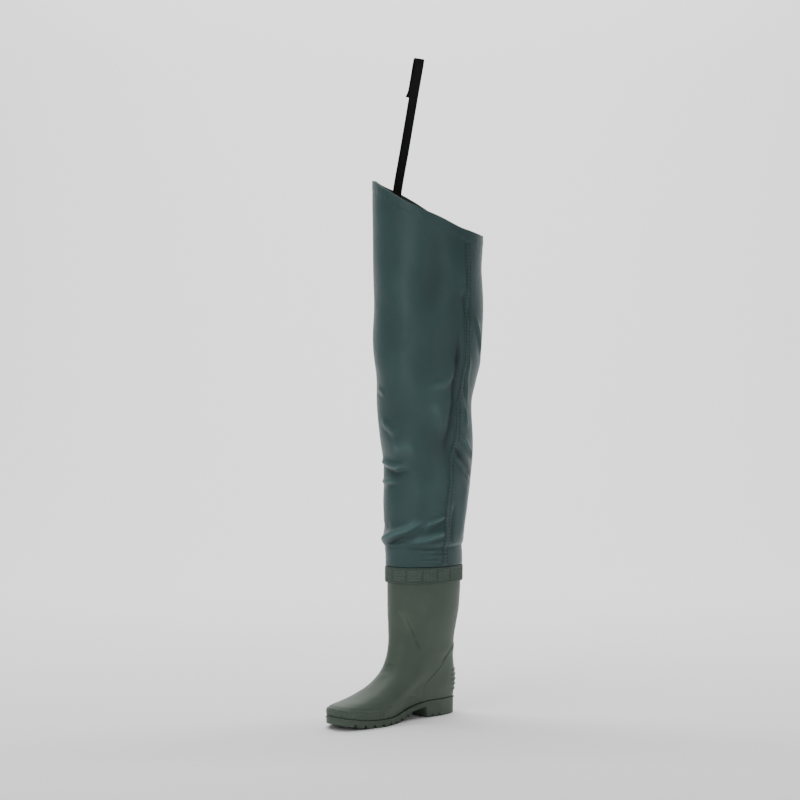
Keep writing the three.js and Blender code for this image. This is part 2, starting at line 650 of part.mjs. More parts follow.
// The wall is flat between two columns, and the webbing's edges come nearest to it.
const columnStep = (2 * Math.PI) / COLUMN_COUNT;
const facetSlope = (1 - Math.cos(columnStep)) / Math.sin(columnStep);
const wallGap = 3 * CLEARANCE + (facetSlope * STRAP_WIDTH) / 2;
const wallInset = (z) => legHalf(sliderMiddle) - legHalf(z);
const layer = STRAP_THICKNESS + LOOP_CLEARANCE;
const tailU = wallGap + STRAP_THICKNESS / 2;
const backU = tailU + layer;
const hug = STRAP_THICKNESS / 2 + LOOP_CLEARANCE; // from a bar's face to the middle of webbing round it
const sliderU = backU + hug + SLIDER_THICKNESS / 2;
const frontU = sliderU + hug + SLIDER_THICKNESS / 2;
const STEPS_PER_POINT = 3;

// Webbing that follows a side view of points [u, w].
function webbingGeometry(points) {
  const vectors = points.map(([u, w]) => new THREE.Vector3(u, w, 0));
  const curve = new THREE.CatmullRomCurve3(vectors, false, "centripetal");
  const count = (points.length - 1) * STEPS_PER_POINT;
  const sides = [[], []];
  for (let i = 0; i <= count; i += 1) {
    const point = curve.getPoint(i / count);
    const tangent = curve.getTangent(i / count);
    const across = new THREE.Vector2(-tangent.y, tangent.x).multiplyScalar(STRAP_THICKNESS / 2);
    sides[0].push(new THREE.Vector2(point.x, point.y).add(across));
    sides[1].push(new THREE.Vector2(point.x, point.y).sub(across));
  }
  const shape = new THREE.Shape([...sides[0], ...sides[1].reverse()]);
  const geometry = new THREE.ExtrudeGeometry(shape, { depth: STRAP_WIDTH, bevelEnabled: false });
  return geometry.translate(0, 0, -STRAP_WIDTH / 2);
}

// Where webbing turns round a bar's corner: front and up are 1 or -1, and layers counts webbing under it.
function turnPoint(bar, front, up, layers = 0) {
  const away = (hug + layers * layer) * Math.SQRT1_2;
  return [sliderU + front * (SLIDER_THICKNESS / 2 + away), bar + up * (SLIDER_BAR / 2 + away)];
}

const TAB_FOLD = 0.45; // the tab is sewn down below this share of its length
const TAB_BEND = 0.14; // and comes away from the wall over this share of it

// The tab goes up behind the slider's lowest bar, round it, and down in front, and is sewn to the leg.
function tabGeometry() {
  const fold = lowBar - TAB_LENGTH * TAB_FOLD;
  const [low, high, end] = [fold - TAB_BEND * TAB_LENGTH, fold + TAB_BEND * TAB_LENGTH, lowBar - TAB_LENGTH];
  return webbingGeometry([
    [tailU + wallInset(end), end],
    [tailU + wallInset(low), low],
    [backU, high],
    [backU, lowBar],
    turnPoint(lowBar, -1, 1),
    [sliderU, lowBar + SLIDER_BAR / 2 + hug],
    turnPoint(lowBar, 1, 1),
    [frontU, lowBar],
    [backU + layer, high],
    [tailU + layer + wallInset(low), low],
    [tailU + layer + wallInset(end), end],
  ]);
}

// The turned end of the strap at the belt loop, as shares: "up" of the loop's length over its lower end,
// and "out" of the distance between its two layers, outwards from the strap.
const LOOP_END = [
  { up: 0.94, out: 0 },
  { up: 0.988, out: 0.15 },
  { up: 1, out: 0.5 },
  { up: 0.985, out: 0.9 },
  { up: 0.94, out: 1 },
  { up: 0.33, out: 1 },
  { up: 0.083, out: 1.2 },
  { up: -0.05, out: 2 },
];

// The strap: its tail hangs behind the tab, it passes over the slider's middle bar and up past the rim,
// leans towards the wearer, and turns outwards over the top into the belt loop.
function strapGeometry() {
  const top = STRAP_TOP - STRAP_THICKNESS / 2;
  const leanStart = strapRim - SLIDER_DROP / 4;
  const lean = (w) => backU + STRAP_LEAN * (w - leanStart);
  const loopLow = top - BELT_LOOP_LENGTH;
  const loopSpan = BELT_LOOP_GAP + STRAP_THICKNESS;
  const lowSlot = sliderMiddle - barPitch / 2;
  return webbingGeometry([
    [tailU, lowBar - TAIL_LENGTH],
    [tailU, lowBar],
    turnPoint(lowBar, -1, 1, 1),
    [sliderU, lowSlot + SLIDER_SLOT / 8],
    turnPoint(sliderMiddle, 1, -1),
    [frontU, sliderMiddle],
    turnPoint(sliderMiddle, 1, 1),
    [sliderU, sliderMiddle + barPitch / 2],
    turnPoint(highBar, -1, -1),
    [backU, highBar],
    [backU, highBar + 2 * SLIDER_BAR],
    [lean(leanStart), leanStart],
    [lean((leanStart + loopLow) / 2), (leanStart + loopLow) / 2],
    [lean(loopLow), loopLow],
    ...LOOP_END.map(({ up, out }) => {
      const w = loopLow + up * BELT_LOOP_LENGTH;
      return [lean(w) - out * loopSpan, w];
    }),
  ]);
}

// The slider: a flat frame with three bars, for the tab below and the strap above.
function sliderGeometry() {
  const slotHalf = STRAP_WIDTH / 2 + SLIDER_MARGIN;
  const corner = SLIDER_BAR;
  const [wide, tall] = [slotHalf + SLIDER_BAR - corner, barPitch + SLIDER_BAR / 2 - corner];
  const shape = new THREE.Shape();
  shape.absarc(wide, -tall, corner, -Math.PI / 2, 0);
  shape.absarc(wide, tall, corner, 0, Math.PI / 2);
  shape.absarc(-wide, tall, corner, Math.PI / 2, Math.PI);
  shape.absarc(-wide, -tall, corner, Math.PI, 1.5 * Math.PI);
  shape.closePath();
  const options = { depth: SLIDER_THICKNESS, bevelEnabled: false, curveSegments: 4 };
  const frame = solidOf(new THREE.ExtrudeGeometry(shape, options).translate(0, 0, -SLIDER_THICKNESS / 2));
  const slots = [-barPitch / 2, barPitch / 2].map((middle) => {
    const box = new THREE.BoxGeometry(2 * slotHalf, SLIDER_SLOT, 2 * SLIDER_THICKNESS);
    return solidOf(box.translate(0, middle, 0));
  });
  // Drawn across x and y, it turns to face u.
  const geometry = geometryFrom(frame.subtract(slots[0]).subtract(slots[1]));
  return geometry.rotateY(Math.PI / 2).translate(sliderU, sliderMiddle, 0);
}

const moulded = (color) => new THREE.MeshStandardMaterial({ color, roughness: 0.55, metalness: 0 });
const woven = (color) => new THREE.MeshStandardMaterial({ color, roughness: 0.8, metalness: 0 });
const bootGreen = 0x56605a;
const bandGreen = 0x434f48;
const clothGreen = 0x374747;
const strapBlack = 0x1b1b1b;

function piece(name, geometry, material) {
  const mesh = new THREE.Mesh(geometry, material);
  mesh.name = name;
  return mesh;
}

const boot = new THREE.Group();
boot.add(
  piece("outsole", outsoleGeometry(), moulded(bootGreen)),
  piece("insole", insoleGeometry(), woven(strapBlack)),
  piece("upper", upperGeometry(), moulded(bootGreen)),
  piece("toe_guard", toeGuardGeometry(), moulded(bootGreen)),
  piece("heel_counter", heelCounterGeometry(), moulded(bootGreen)),
  piece("top_band", bandGeometry(), moulded(bandGreen)),
);

const leg = new THREE.Group();
leg.add(
  piece("leg", legGeometry(), woven(clothGreen)),
  piece("inseam_tape", seamGeometry(INSEAM), woven(clothGreen)),
  piece("outseam_tape", seamGeometry(OUTSEAM), woven(clothGreen)),
);

const strap = new THREE.Group();
strap.add(
  piece("strap_tab", tabGeometry(), woven(strapBlack)),
  piece("slider", sliderGeometry(), moulded(strapBlack)),
  piece("strap", strapGeometry(), woven(strapBlack)),
);
// u, w and the width become the way into the leg, +Z and the way along its surface.
const inwards = new THREE.Vector3(-Math.sin(STRAP_ANGLE), Math.cos(STRAP_ANGLE), 0);
const upwards = new THREE.Vector3(0, 0, 1);
const sideways = new THREE.Vector3().crossVectors(inwards, upwards);
strap.applyMatrix4(new THREE.Matrix4().makeBasis(inwards, upwards, sideways));
strap.position.copy(legPoint(sliderMiddle, STRAP_ANGLE, -LEG_WALL)).setZ(0);

const wader = new THREE.Group();
wader.add(boot, leg, strap);

export default wader;
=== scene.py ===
"""The looks of a hip wader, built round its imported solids: a moulded boot, a leg of cloth and a strap."""

import math
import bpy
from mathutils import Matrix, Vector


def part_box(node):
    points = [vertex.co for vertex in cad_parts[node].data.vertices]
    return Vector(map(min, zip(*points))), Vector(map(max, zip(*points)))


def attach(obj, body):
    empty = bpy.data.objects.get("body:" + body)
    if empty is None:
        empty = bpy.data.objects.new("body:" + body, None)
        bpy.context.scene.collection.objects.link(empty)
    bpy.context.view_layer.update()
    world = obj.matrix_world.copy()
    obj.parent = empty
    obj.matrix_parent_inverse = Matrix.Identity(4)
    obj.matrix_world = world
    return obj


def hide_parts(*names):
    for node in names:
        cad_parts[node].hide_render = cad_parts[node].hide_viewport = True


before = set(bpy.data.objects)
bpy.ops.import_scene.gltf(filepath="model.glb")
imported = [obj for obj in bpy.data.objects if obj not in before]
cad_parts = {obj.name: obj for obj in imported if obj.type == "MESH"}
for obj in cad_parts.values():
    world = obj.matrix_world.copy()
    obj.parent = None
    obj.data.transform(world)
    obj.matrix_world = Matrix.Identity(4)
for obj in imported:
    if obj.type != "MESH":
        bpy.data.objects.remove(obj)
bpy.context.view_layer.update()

from types import SimpleNamespace

import bmesh
import bpy
import numpy as np
from mathutils import Vector

bl_info = {
    "name": "Hip wader",
    "version": (1, 0, 0),
    "blender": (4, 5, 0),
    "location": "3D View > Sidebar > Wader",
    "description": "Moulded boot, coated leg, belt strap and the studio round them",
    "category": "Add Mesh",
}

MM = 0.001
CLEARANCE = 0.3  # mm between solids that touch
LAID_ON = 0.05  # mm by which a lap or the band's inner face keeps off the leg
SEAT_GAP = 0.02  # mm between the sole and the upper's outer edge


# Numbers and colours


def linear(code):
    """An sRGB hex colour as linear red, green, blue and alpha."""
    shares = [int(code[i : i + 2], 16) / 255 for i in (1, 3, 5)]
    return tuple(c / 12.92 if c <= 0.04045 else ((c + 0.055) / 1.055) ** 2.4 for c in shares) + (1.0,)


def smoothstep(x, low, high):
    """0 below low, 1 above high, and a smooth S between."""
    u = np.clip((x - low) / (high - low), 0, 1)
    return u * u * (3 - 2 * u)


def mix(low, high, share):
    """The value that lies the given share of the way from low to high."""
    return low + (high - low) * share


def cubic(xs, ys):
    """A smooth curve through the points (xs, ys) that never overshoots them: a cubic whose slope at a point
    is the harmonic mean of the slopes beside it. ys may have one column for each row of what is asked."""
    xs, ys = np.asarray(xs, float), np.asarray(ys, float)
    width = np.diff(xs).reshape((-1,) + (1,) * (ys.ndim - 1))
    slope = np.diff(ys, axis=0) / width
    before, after = slope[:-1], slope[1:]
    same = before * after > 0
    turning = np.where(same, 2 * before * after / np.where(same, before + after, 1), 0)
    tangent = np.concatenate([slope[:1], turning, slope[-1:]])

    def curve(x):
        at = np.clip(x, xs[0], xs[-1])
        i = np.clip(np.searchsorted(xs, at) - 1, 0, len(xs) - 2)
        column = () if ys.ndim == 1 else (np.arange(ys.shape[1])[:, None],)
        span = xs[i + 1] - xs[i]
        u = (at - xs[i]) / span
        from_start = (1 + 2 * u) * (1 - u) ** 2 * ys[(i, *column)]
        from_start += u * (1 - u) ** 2 * span * tangent[(i, *column)]
        from_end = u * u * (3 - 2 * u) * ys[(i + 1, *column)]
        from_end += u * u * (u - 1) * span * tangent[(i + 1, *column)]
        return from_start + from_end

    return curve


def unit(vectors):
    """The vectors at length 1."""
    return vectors / np.linalg.norm(vectors, axis=-1, keepdims=True)


def signed_power(values, power):
    """Powers of the values with their signs kept. Below 1 they square the corners of an oval."""
    return np.sign(values) * np.abs(values) ** power


def round_angles(count):
    """A row of angles that go once round."""
    return (np.arange(count) * 2 * np.pi / count)[None, :]


def waved(angle, mean, high, turns, phase):
    """A value that goes up and down around its mean, so many times in a turn."""
    return mean + high * np.sin(turns * angle + phase)


def walked(lengths):
    """Lengths added up from 0."""
    return np.concatenate([[0], np.cumsum(lengths)])


def stretches(stops, counts):
    """Numbers that rise from stop to stop, evenly in each stretch, with its count, both stops included."""
    parts = [np.linspace(low, high, count)[:-1] for low, high, count in zip(stops[:-1], stops[1:], counts)]
    return np.concatenate([*parts, stops[-1:]])


def table(columns, rows):
    """Rows of values as dictionaries under the names of their columns."""
    return [dict(zip(columns.split(), row)) for row in rows]


def curve_of(rows, along, name):
    """The smooth curve of one named column of a table over another."""
    return cubic([row[along] for row in rows], [row[name] for row in rows])


# Sizes and colours a user may change


def length(name, description, mm):
    """A length property that holds metres and is given in millimetres."""
    return bpy.props.FloatProperty(
        name=name, description=description, default=mm * MM, min=0, precision=4, unit="LENGTH"
    )


def colour(name, description, code):
    """A colour property given as an sRGB hex value."""
    return bpy.props.FloatVectorProperty(
        name=name, description=description, default=linear(code), size=4, min=0, max=1, subtype="COLOR"
    )


SOLE_LOW, SOLE_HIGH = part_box("outsole")
UPPER_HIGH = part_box("upper")[1]


class WaderSizes(bpy.types.PropertyGroup):
    """The wader's main sizes."""

    sole_length: length("Sole length", "Back of the heel to the toe", (SOLE_HIGH.y - SOLE_LOW.y) / MM)
    ball_width: length("Ball width", "Outsole across the ball", 104)
    heel_width: length("Heel width", "Outsole across the heel", 70)
    waist_width: length("Waist width", "Outsole across the waist", 64)
    heel_height: length("Heel height", "Floor to heel seat", 28)
    heel_length: length("Heel length", "Back of the heel to its breast", 76)
    forefoot_thickness: length("Forefoot thickness", "Sole at the ball, tread included", 12)
    waist_thickness: length("Waist thickness", "Sole at the waist", 9)
    toe_spring: length("Toe spring", "Rise of the toe from the floor", 9.5)
    lug_depth: length("Lug depth", "Depth of the cross grooves", 4)
    lug_pitch: length("Lug pitch", "From one forefoot groove to the next", 18)
    groove_width: length("Groove width", "Width of a cross groove", 5)
    sole_ledge: length("Sole ledge", "How far the sole stands out from the upper", 3.2)
    sole_draft: length("Sole draft", "How much narrower a side the sole is at the floor", 1.6)
    lip_height: length("Lip height", "Raised edge round the top of the sole's side", 2.6)
    lip_out: length("Lip reach", "How far the raised edge stands out", 1.1)
    insole_thickness: length("Insole thickness", "Sock on the sole inside the boot", 3)
    boot_height: length("Boot height", "Floor to the top of the shaft", UPPER_HIGH.z / MM)
    boot_wall: length("Boot wall", "Thickness of the moulded upper", 2.6)
    ankle_width: length("Ankle width", "Boot across the ankle", 78)
    shaft_width: length("Shaft width", "Boot across the top of the shaft", 105)
    shaft_depth: length("Shaft depth", "Top of the shaft from front to back", 139)
    guard_height: length("Toe guard height", "Raised rim round the toe", 15)
    guard_length: length("Toe guard length", "How far back the toe guard runs", 88)
    counter_height: length("Counter height", "Raised heel counter", 92)
    counter_length: length("Counter length", "How far forward the heel counter runs", 88)
    rib_pitch: length("Rib pitch", "From one kick rib to the next", 8)
    rib_height: length("Rib height", "Height of a kick rib", 4)
    rib_out: length("Rib reach", "How far a kick rib stands out", 1.3)
    band_height: length("Band height", "Knurled band round the top of the boot", 26)
    band_thickness: length("Band thickness", "Thickness of the knurled band", 1.6)
    knurl_pitch: length("Knurl pitch", "From one diamond of the band to the next", 4.8)
    knurl_depth: length("Knurl depth", "Height of the band's diamonds", 0.9)
    wader_height: length("Wader height", "Floor to the highest point of the rim", 903)
    rim_drop: length("Rim drop", "From there to the lowest point of the rim", 96)
    thigh_width: length("Thigh width", "Leg from side to side at the thigh", 177)
    thigh_depth: length("Thigh depth", "Leg from front to back at the thigh", 195)
    leg_wall: length("Leg wall", "Thickness of the coated cloth", 1)
    hem_height: length("Hem height", "Height of the folded hem", 18)
    cuff_height: length("Cuff height", "Plain cloth between the band and the crease above it", 32)
    cuff_step: length("Cuff step", "Height in which the cloth comes out to the band's face", 3)
    seam_width: length("Seam width", "Width of the lapped side seams", 12.4)
    seam_thickness: length("Seam thickness", "How far a side seam stands up", 0.8)
    stitch_pitch: length("Stitch pitch", "From one stitch to the next", 6)
    strap_width: length("Strap width", "Width of the webbing", 20)
    strap_thickness: length("Strap thickness", "Thickness of the webbing", 1.5)
    strap_top: length("Strap top", "Floor to the top of the belt loop", 1111)
    loop_length: length("Belt loop length", "Doubled end of the strap", 60)
    slider_drop: length("Slider drop", "From the rim to the middle of the slider", 40)


class WaderColours(bpy.types.PropertyGroup):
    """The colours of the wader and its floor."""

    boot: colour("Boot", "Moulded boot and sole", "#4a554b")
    band: colour("Band", "Knurled band", "#3f4b44")
    cloth: colour("Cloth", "Coated cloth of the leg", "#314545")
    lining: colour("Lining", "Bare back of the cloth, seen inside the leg", "#2b3433")
    thread: colour("Thread", "Stitching of the side seams", "#0e1413")
    webbing: colour("Webbing", "Strap and tab", "#131314")
    slider: colour("Slider", "Moulded slider", "#18181a")
    sock: colour("Sock", "Insole and lining", "#2d302e")
    floor: colour("Floor", "Floor of the studio", "#f4f4f4")


def sizes_of(scene):
    """The sizes in millimetres, and the heights that follow from them."""
    group = scene.wader_sizes
    s = SimpleNamespace(**{name: getattr(group, name) / MM for name in WaderSizes.__annotations__})
    s.heel_centre = s.heel_length / 2
    s.last_length = s.sole_length - 2 * s.sole_ledge
    s.shaft_rise = s.boot_height - s.heel_height
    s.band_bottom = s.boot_height - s.band_height
    s.cuff_top = s.boot_height + s.cuff_height
    s.leg_rise = s.wader_height - s.cuff_top
    return s


# The boot's form

TOE_RISE_POWER = 1.8
# Shares of the sole's length: where the toe starts to rise, the tread starts and is down on the floor, and
# the seat starts to fall and is down.
BALL_END, TREAD_START, TREAD_DOWN, SEAT_END, SEAT_DOWN = 0.72, 0.41, 0.57, 0.24, 0.62
HEEL_GROOVES = (0.66, 0.87)  # shares of the heel's length
BREAST_SLANT = 0.06  # share of the heel's length in which its front face goes up

# Loops of the foot: where they end as shares of the last's length, how high the ends lie over the heel seat
# as shares of the shaft's rise, and their half widths as shares of the last's.
FOOT_LEVELS = table("front front_up back back_up heel waist ball", [
    (1.0, 0.0, 0.0, 0.0, 0.98, 0.98, 1.0),
    (1.005, 0.038, -0.008, 0.046, 1.05, 1.07, 1.02),
    (0.987, 0.071, -0.014, 0.096, 1.1, 1.16, 0.985),
    (0.918, 0.098, -0.018, 0.137, 1.11, 1.22, 0.93),
    (0.812, 0.127, -0.018, 0.178, 1.11, 1.26, 0.87),
    (0.7, 0.162, -0.014, 0.219, 1.11, 1.29, 0.82),
    (0.607, 0.207, -0.009, 0.265, 1.1, 1.3, 0.79),
    (0.535, 0.268, -0.005, 0.32, 1.1, 1.3, 0.78),
])
# Level loops of the shaft: height over the heel seat, middle, depth, and the shares of the ankle's and the
# shaft's width that add up to its width.
SHAFT_LEVELS = table("up middle depth ankle top", [
    (0.378, 0.24, 0.937, 1.0, 0.0),
    (0.455, 0.231, 0.925, 0.85, 0.14),
    (0.55, 0.222, 0.95, 0.45, 0.51),
    (0.7, 0.211, 0.985, 0.1, 0.88),
    (0.85, 0.206, 0.998, 0, 0.99),
    (1.0, 0.205, 1.0, 0, 1.0),
])
# How far a loop follows the seat line and the curve of the foot, and how blunt its two ends are.
LOOP_SHAPES = table("v follow swing toe_power heel_power", [
    (0, 1, 1, 2.45, 3.4),
    (0.23, 0.9, 1, 2.45, 3),
    (0.46, 0.5, 0.6, 2.25, 2.5),
    (0.69, 0, 0, 2.1, 2.2),
    (0.87, 0, 0, 2, 2),
])
WIDTH_STATIONS = [(0, "heel"), (0.15, "heel"), (0.42, "waist"), (0.72, "ball"), (1, "ball")]
FOOT_SWING = table("along inwards", [
    (0.15, 0), (0.42, -0.026), (0.7, -0.01), (0.88, 0.04), (1, 0.095),
])
# Front edge of the heel counter, as shares of its length and height.
COUNTER_EDGE = table("forward up", [
    (1.0, 0.22), (0.97, 0.31), (0.88, 0.39), (0.65, 0.56), (0.32, 0.86), (0.17, 0.97), (0.05, 1.0),
])
OVERLAY_OUT = 1.2  # mm by which toe guard and counter stand out
RIB_COUNT = 5
RIBS_START, RIB_REACH = 0.12, 0.2  # shares of the counter's height and length

# Small marks of the moulding and of wear: ends as degrees round the boot and shares v of the way up it,
# height, negative for a furrow, and width in mm. The height also gives a painted highlight on a ridge and
# painted shade in a furrow.
BOOT_MARKS = table("ends out width", [
    (((-22, 0.55), (26, 0.552)), -0.5, 1.6),
    (((-14, 0.5), (16, 0.51)), 0.5, 5.0),
    (((90, 0.215), (103, 0.135)), 0.7, 1.6),
    (((9, 0.84), (21, 0.815)), 0.6, 1.4),
    (((66, 0.165), (74, 0.145)), -0.4, 1.6),
    (((24, 0.83), (50, 0.69)), -0.7, 1.8),
    (((18, 0.855), (44, 0.725)), 0.5, 5.0),
    (((46, 0.71), (62, 0.62)), -0.5, 3.0),
    (((118, 0.81), (126, 0.79)), -0.7, 2.0),
    (((126, 0.73), (136, 0.71)), -0.7, 2.0),
    (((-22, 0.83), (-50, 0.69)), -0.7, 1.8),
    (((-90, 0.21), (-103, 0.14)), 0.7, 1.6),
    (((-30, 0.54), (-50, 0.5)), -0.5, 1.6),
    (((-68, 0.17), (-76, 0.15)), -0.4, 1.6),
])


class BootForm:
    """The boot as closed loops stacked from the sole to the top of the shaft. t runs forwards from the back
    of the sole, v is 0 at the sole and 1 at the top, and an angle is 0 at the toe and 90 at the inner
    side."""

    def __init__(self, s):
        self.s = s
        half = {name: getattr(s, name + "_width") / 2 - s.sole_ledge for name in ("heel", "waist", "ball")}
        levels = []
        for row in FOOT_LEVELS:
            level = {name: row[name] * half[name] for name in half}
            level.update(front_up=row["front_up"], back_up=row["back_up"])
            level.update({end: s.sole_ledge + row[end] * s.last_length for end in ("front", "back")})
            levels.append(level)
        for row in SHAFT_LEVELS:
            wide = (row["ankle"] * s.ankle_width + row["top"] * s.shaft_width) / 2
            middle, reach = s.sole_ledge + row["middle"] * s.last_length, row["depth"] * s.shaft_depth / 2
            level = dict.fromkeys(("heel", "waist", "ball"), wide)
            level.update(front=middle + reach, back=middle - reach, front_up=row["up"], back_up=row["up"])
            levels.append(level)
        for i, level in enumerate(levels):
            level["v"] = i / (len(levels) - 1)
        self.curves = {name: curve_of(levels, "v", name) for name in levels[0] if name != "v"}
        for name in ("follow", "swing", "toe_power", "heel_power"):
            self.curves[name] = curve_of(LOOP_SHAPES, "v", name)
        self.swing = curve_of(FOOT_SWING, "along", "inwards")

    def toe_rise(self, t):
        """Rise of the tread: a power of how far t lies beyond the ball."""
        start = BALL_END * self.s.sole_length
        beyond = np.clip((t - start) / (self.s.sole_length - start), 0, None)
        return self.s.toe_spring * beyond**TOE_RISE_POWER

    def seat(self, t):
        """Height of the sole's upper face: heel height eased down to the forefoot, plus the toe's rise."""
        eased = smoothstep(t, SEAT_END * self.s.sole_length, SEAT_DOWN * self.s.sole_length)
        return self.toe_rise(t) + mix(self.s.heel_height, self.s.forefoot_thickness, eased)

    def station(self, v, along, grow=0.0):
        """Middle, half width, t and height of a loop at a share of its length. The half width is a smooth
        curve through those at heel, waist and ball, times a superellipse that rounds both ends."""
        loop = {name: curve(v) for name, curve in self.curves.items()}
        power = np.where(along > 0.5, loop["toe_power"], loop["heel_power"])
        rounded = np.clip(1 - np.abs(2 * along - 1) ** power, 0, None) ** (1 / power)
        stations = np.stack([np.ravel(loop[name]) for _, name in WIDTH_STATIONS])
        widths = cubic([share for share, _ in WIDTH_STATIONS], stations)(along)
        t = mix(loop["back"] - grow, loop["front"] + grow, along)
        level = mix(self.s.heel_height, self.seat(t), loop["follow"])
        z = level + mix(loop["back_up"], loop["front_up"], along) * self.s.shaft_rise
        return self.swing(along) * loop["swing"] * self.s.ball_width, (widths + grow) * rounded, t, z

    def loops(self, v, angle):
        """Points of the loops at the shares v (a column) and the angles (a row)."""
        along = (1 + np.cos(angle)) / 2 + 0 * v
        middle, half, t, z = self.station(v, along)
        return np.stack([middle + np.sign(np.sin(angle)) * half, self.s.heel_centre - t, z], -1)

    def surface(self, v, angle, step=1e-3):
        """Points and outward normals, from the cross product of the slopes round and up the boot."""
        around = self.loops(v, angle + step) - self.loops(v, angle - step)
        up = self.loops(np.minimum(v + step, 1), angle) - self.loops(np.maximum(v - step, 0), angle)
        normals = np.cross(around, up)
        normals[..., 2] = np.where((v == 0) | (v == 1), 0, normals[..., 2])
        return self.loops(v, angle), unit(normals)

    def grooves(self):
        """Middles of the cross grooves: those of the heel, then one for each pitch of the tread."""
        s = self.s
        first, last = TREAD_START * s.sole_length + s.lug_pitch / 2, s.sole_length - s.lug_pitch / 2
        return [share * s.heel_length for share in HEEL_GROOVES] + list(np.arange(first, last, s.lug_pitch))

    def underside(self, t):
        """Height of the sole's underside: flat heel, slanted breast, waist under the seat, then the tread
        that comes down to the floor by a square and rises again at the toe."""
        s = self.s
        start, down = TREAD_START * s.sole_length, TREAD_DOWN * s.sole_length
        waist = self.seat(t) - s.waist_thickness
        first = self.seat(start) - s.waist_thickness - s.lug_depth
        tread = first * np.clip(1 - (t - start) / (down - start), 0, 1) ** 2 + self.toe_rise(t)
        breast = mix(0, waist, np.clip((t - s.heel_length) / (BREAST_SLANT * s.heel_length), 0, 1))
        return np.where(t < start, breast, tread)


# The leg's form

# Sections above the cuff at shares of the leg's rise, as shares of the thigh's width and depth.
LEG_SECTIONS = table("up width depth forward", [
    (0.0, 0.63, 0.745, 0.108),
    (0.012, 0.66, 0.762, 0.107),
    (0.066, 0.7, 0.772, 0.097),
    (0.12, 0.751, 0.79, 0.084),
    (0.175, 0.775, 0.806, 0.062),
    (0.231, 0.79, 0.812, 0.056),
    (0.286, 0.812, 0.84, 0.07),
    (0.341, 0.838, 0.856, 0.086),
    (0.397, 0.862, 0.872, 0.098),
    (0.45, 0.898, 0.92, 0.078),
    (0.506, 0.949, 0.978, 0.056),
    (0.595, 0.978, 0.99, 0.052),
    (0.725, 0.989, 1.0, 0.052),
    (0.841, 0.995, 1.0, 0.054),
    (1.0, 1.006, 1.005, 0.055),
])
RIM = table("angle share", [
    (-60, 1.0), (-30, 0.945), (0, 0.755), (30, 0.49), (60, 0.27), (90, 0.07), (125, 0.0),
    (175, 0.09), (215, 0.4), (245, 0.71), (265, 0.86), (300, 1.0),
])
HEM_EXTRA = 0.5  # mm that the folded hem is thicker on each face

# Where the side seams run, in degrees at shares of the leg's rise.
INSEAM = table("up angle", [
    (-0.06, 85), (0.02, 88), (0.093, 84), (0.152, 82), (0.233, 81.5), (0.26, 85.5), (0.286, 90),
    (0.381, 94), (0.435, 97), (0.557, 95), (1.0, 95),
])
OUTSEAM = table("up angle", [
    (-0.06, 268), (0.7, 267), (1.0, 267),
])

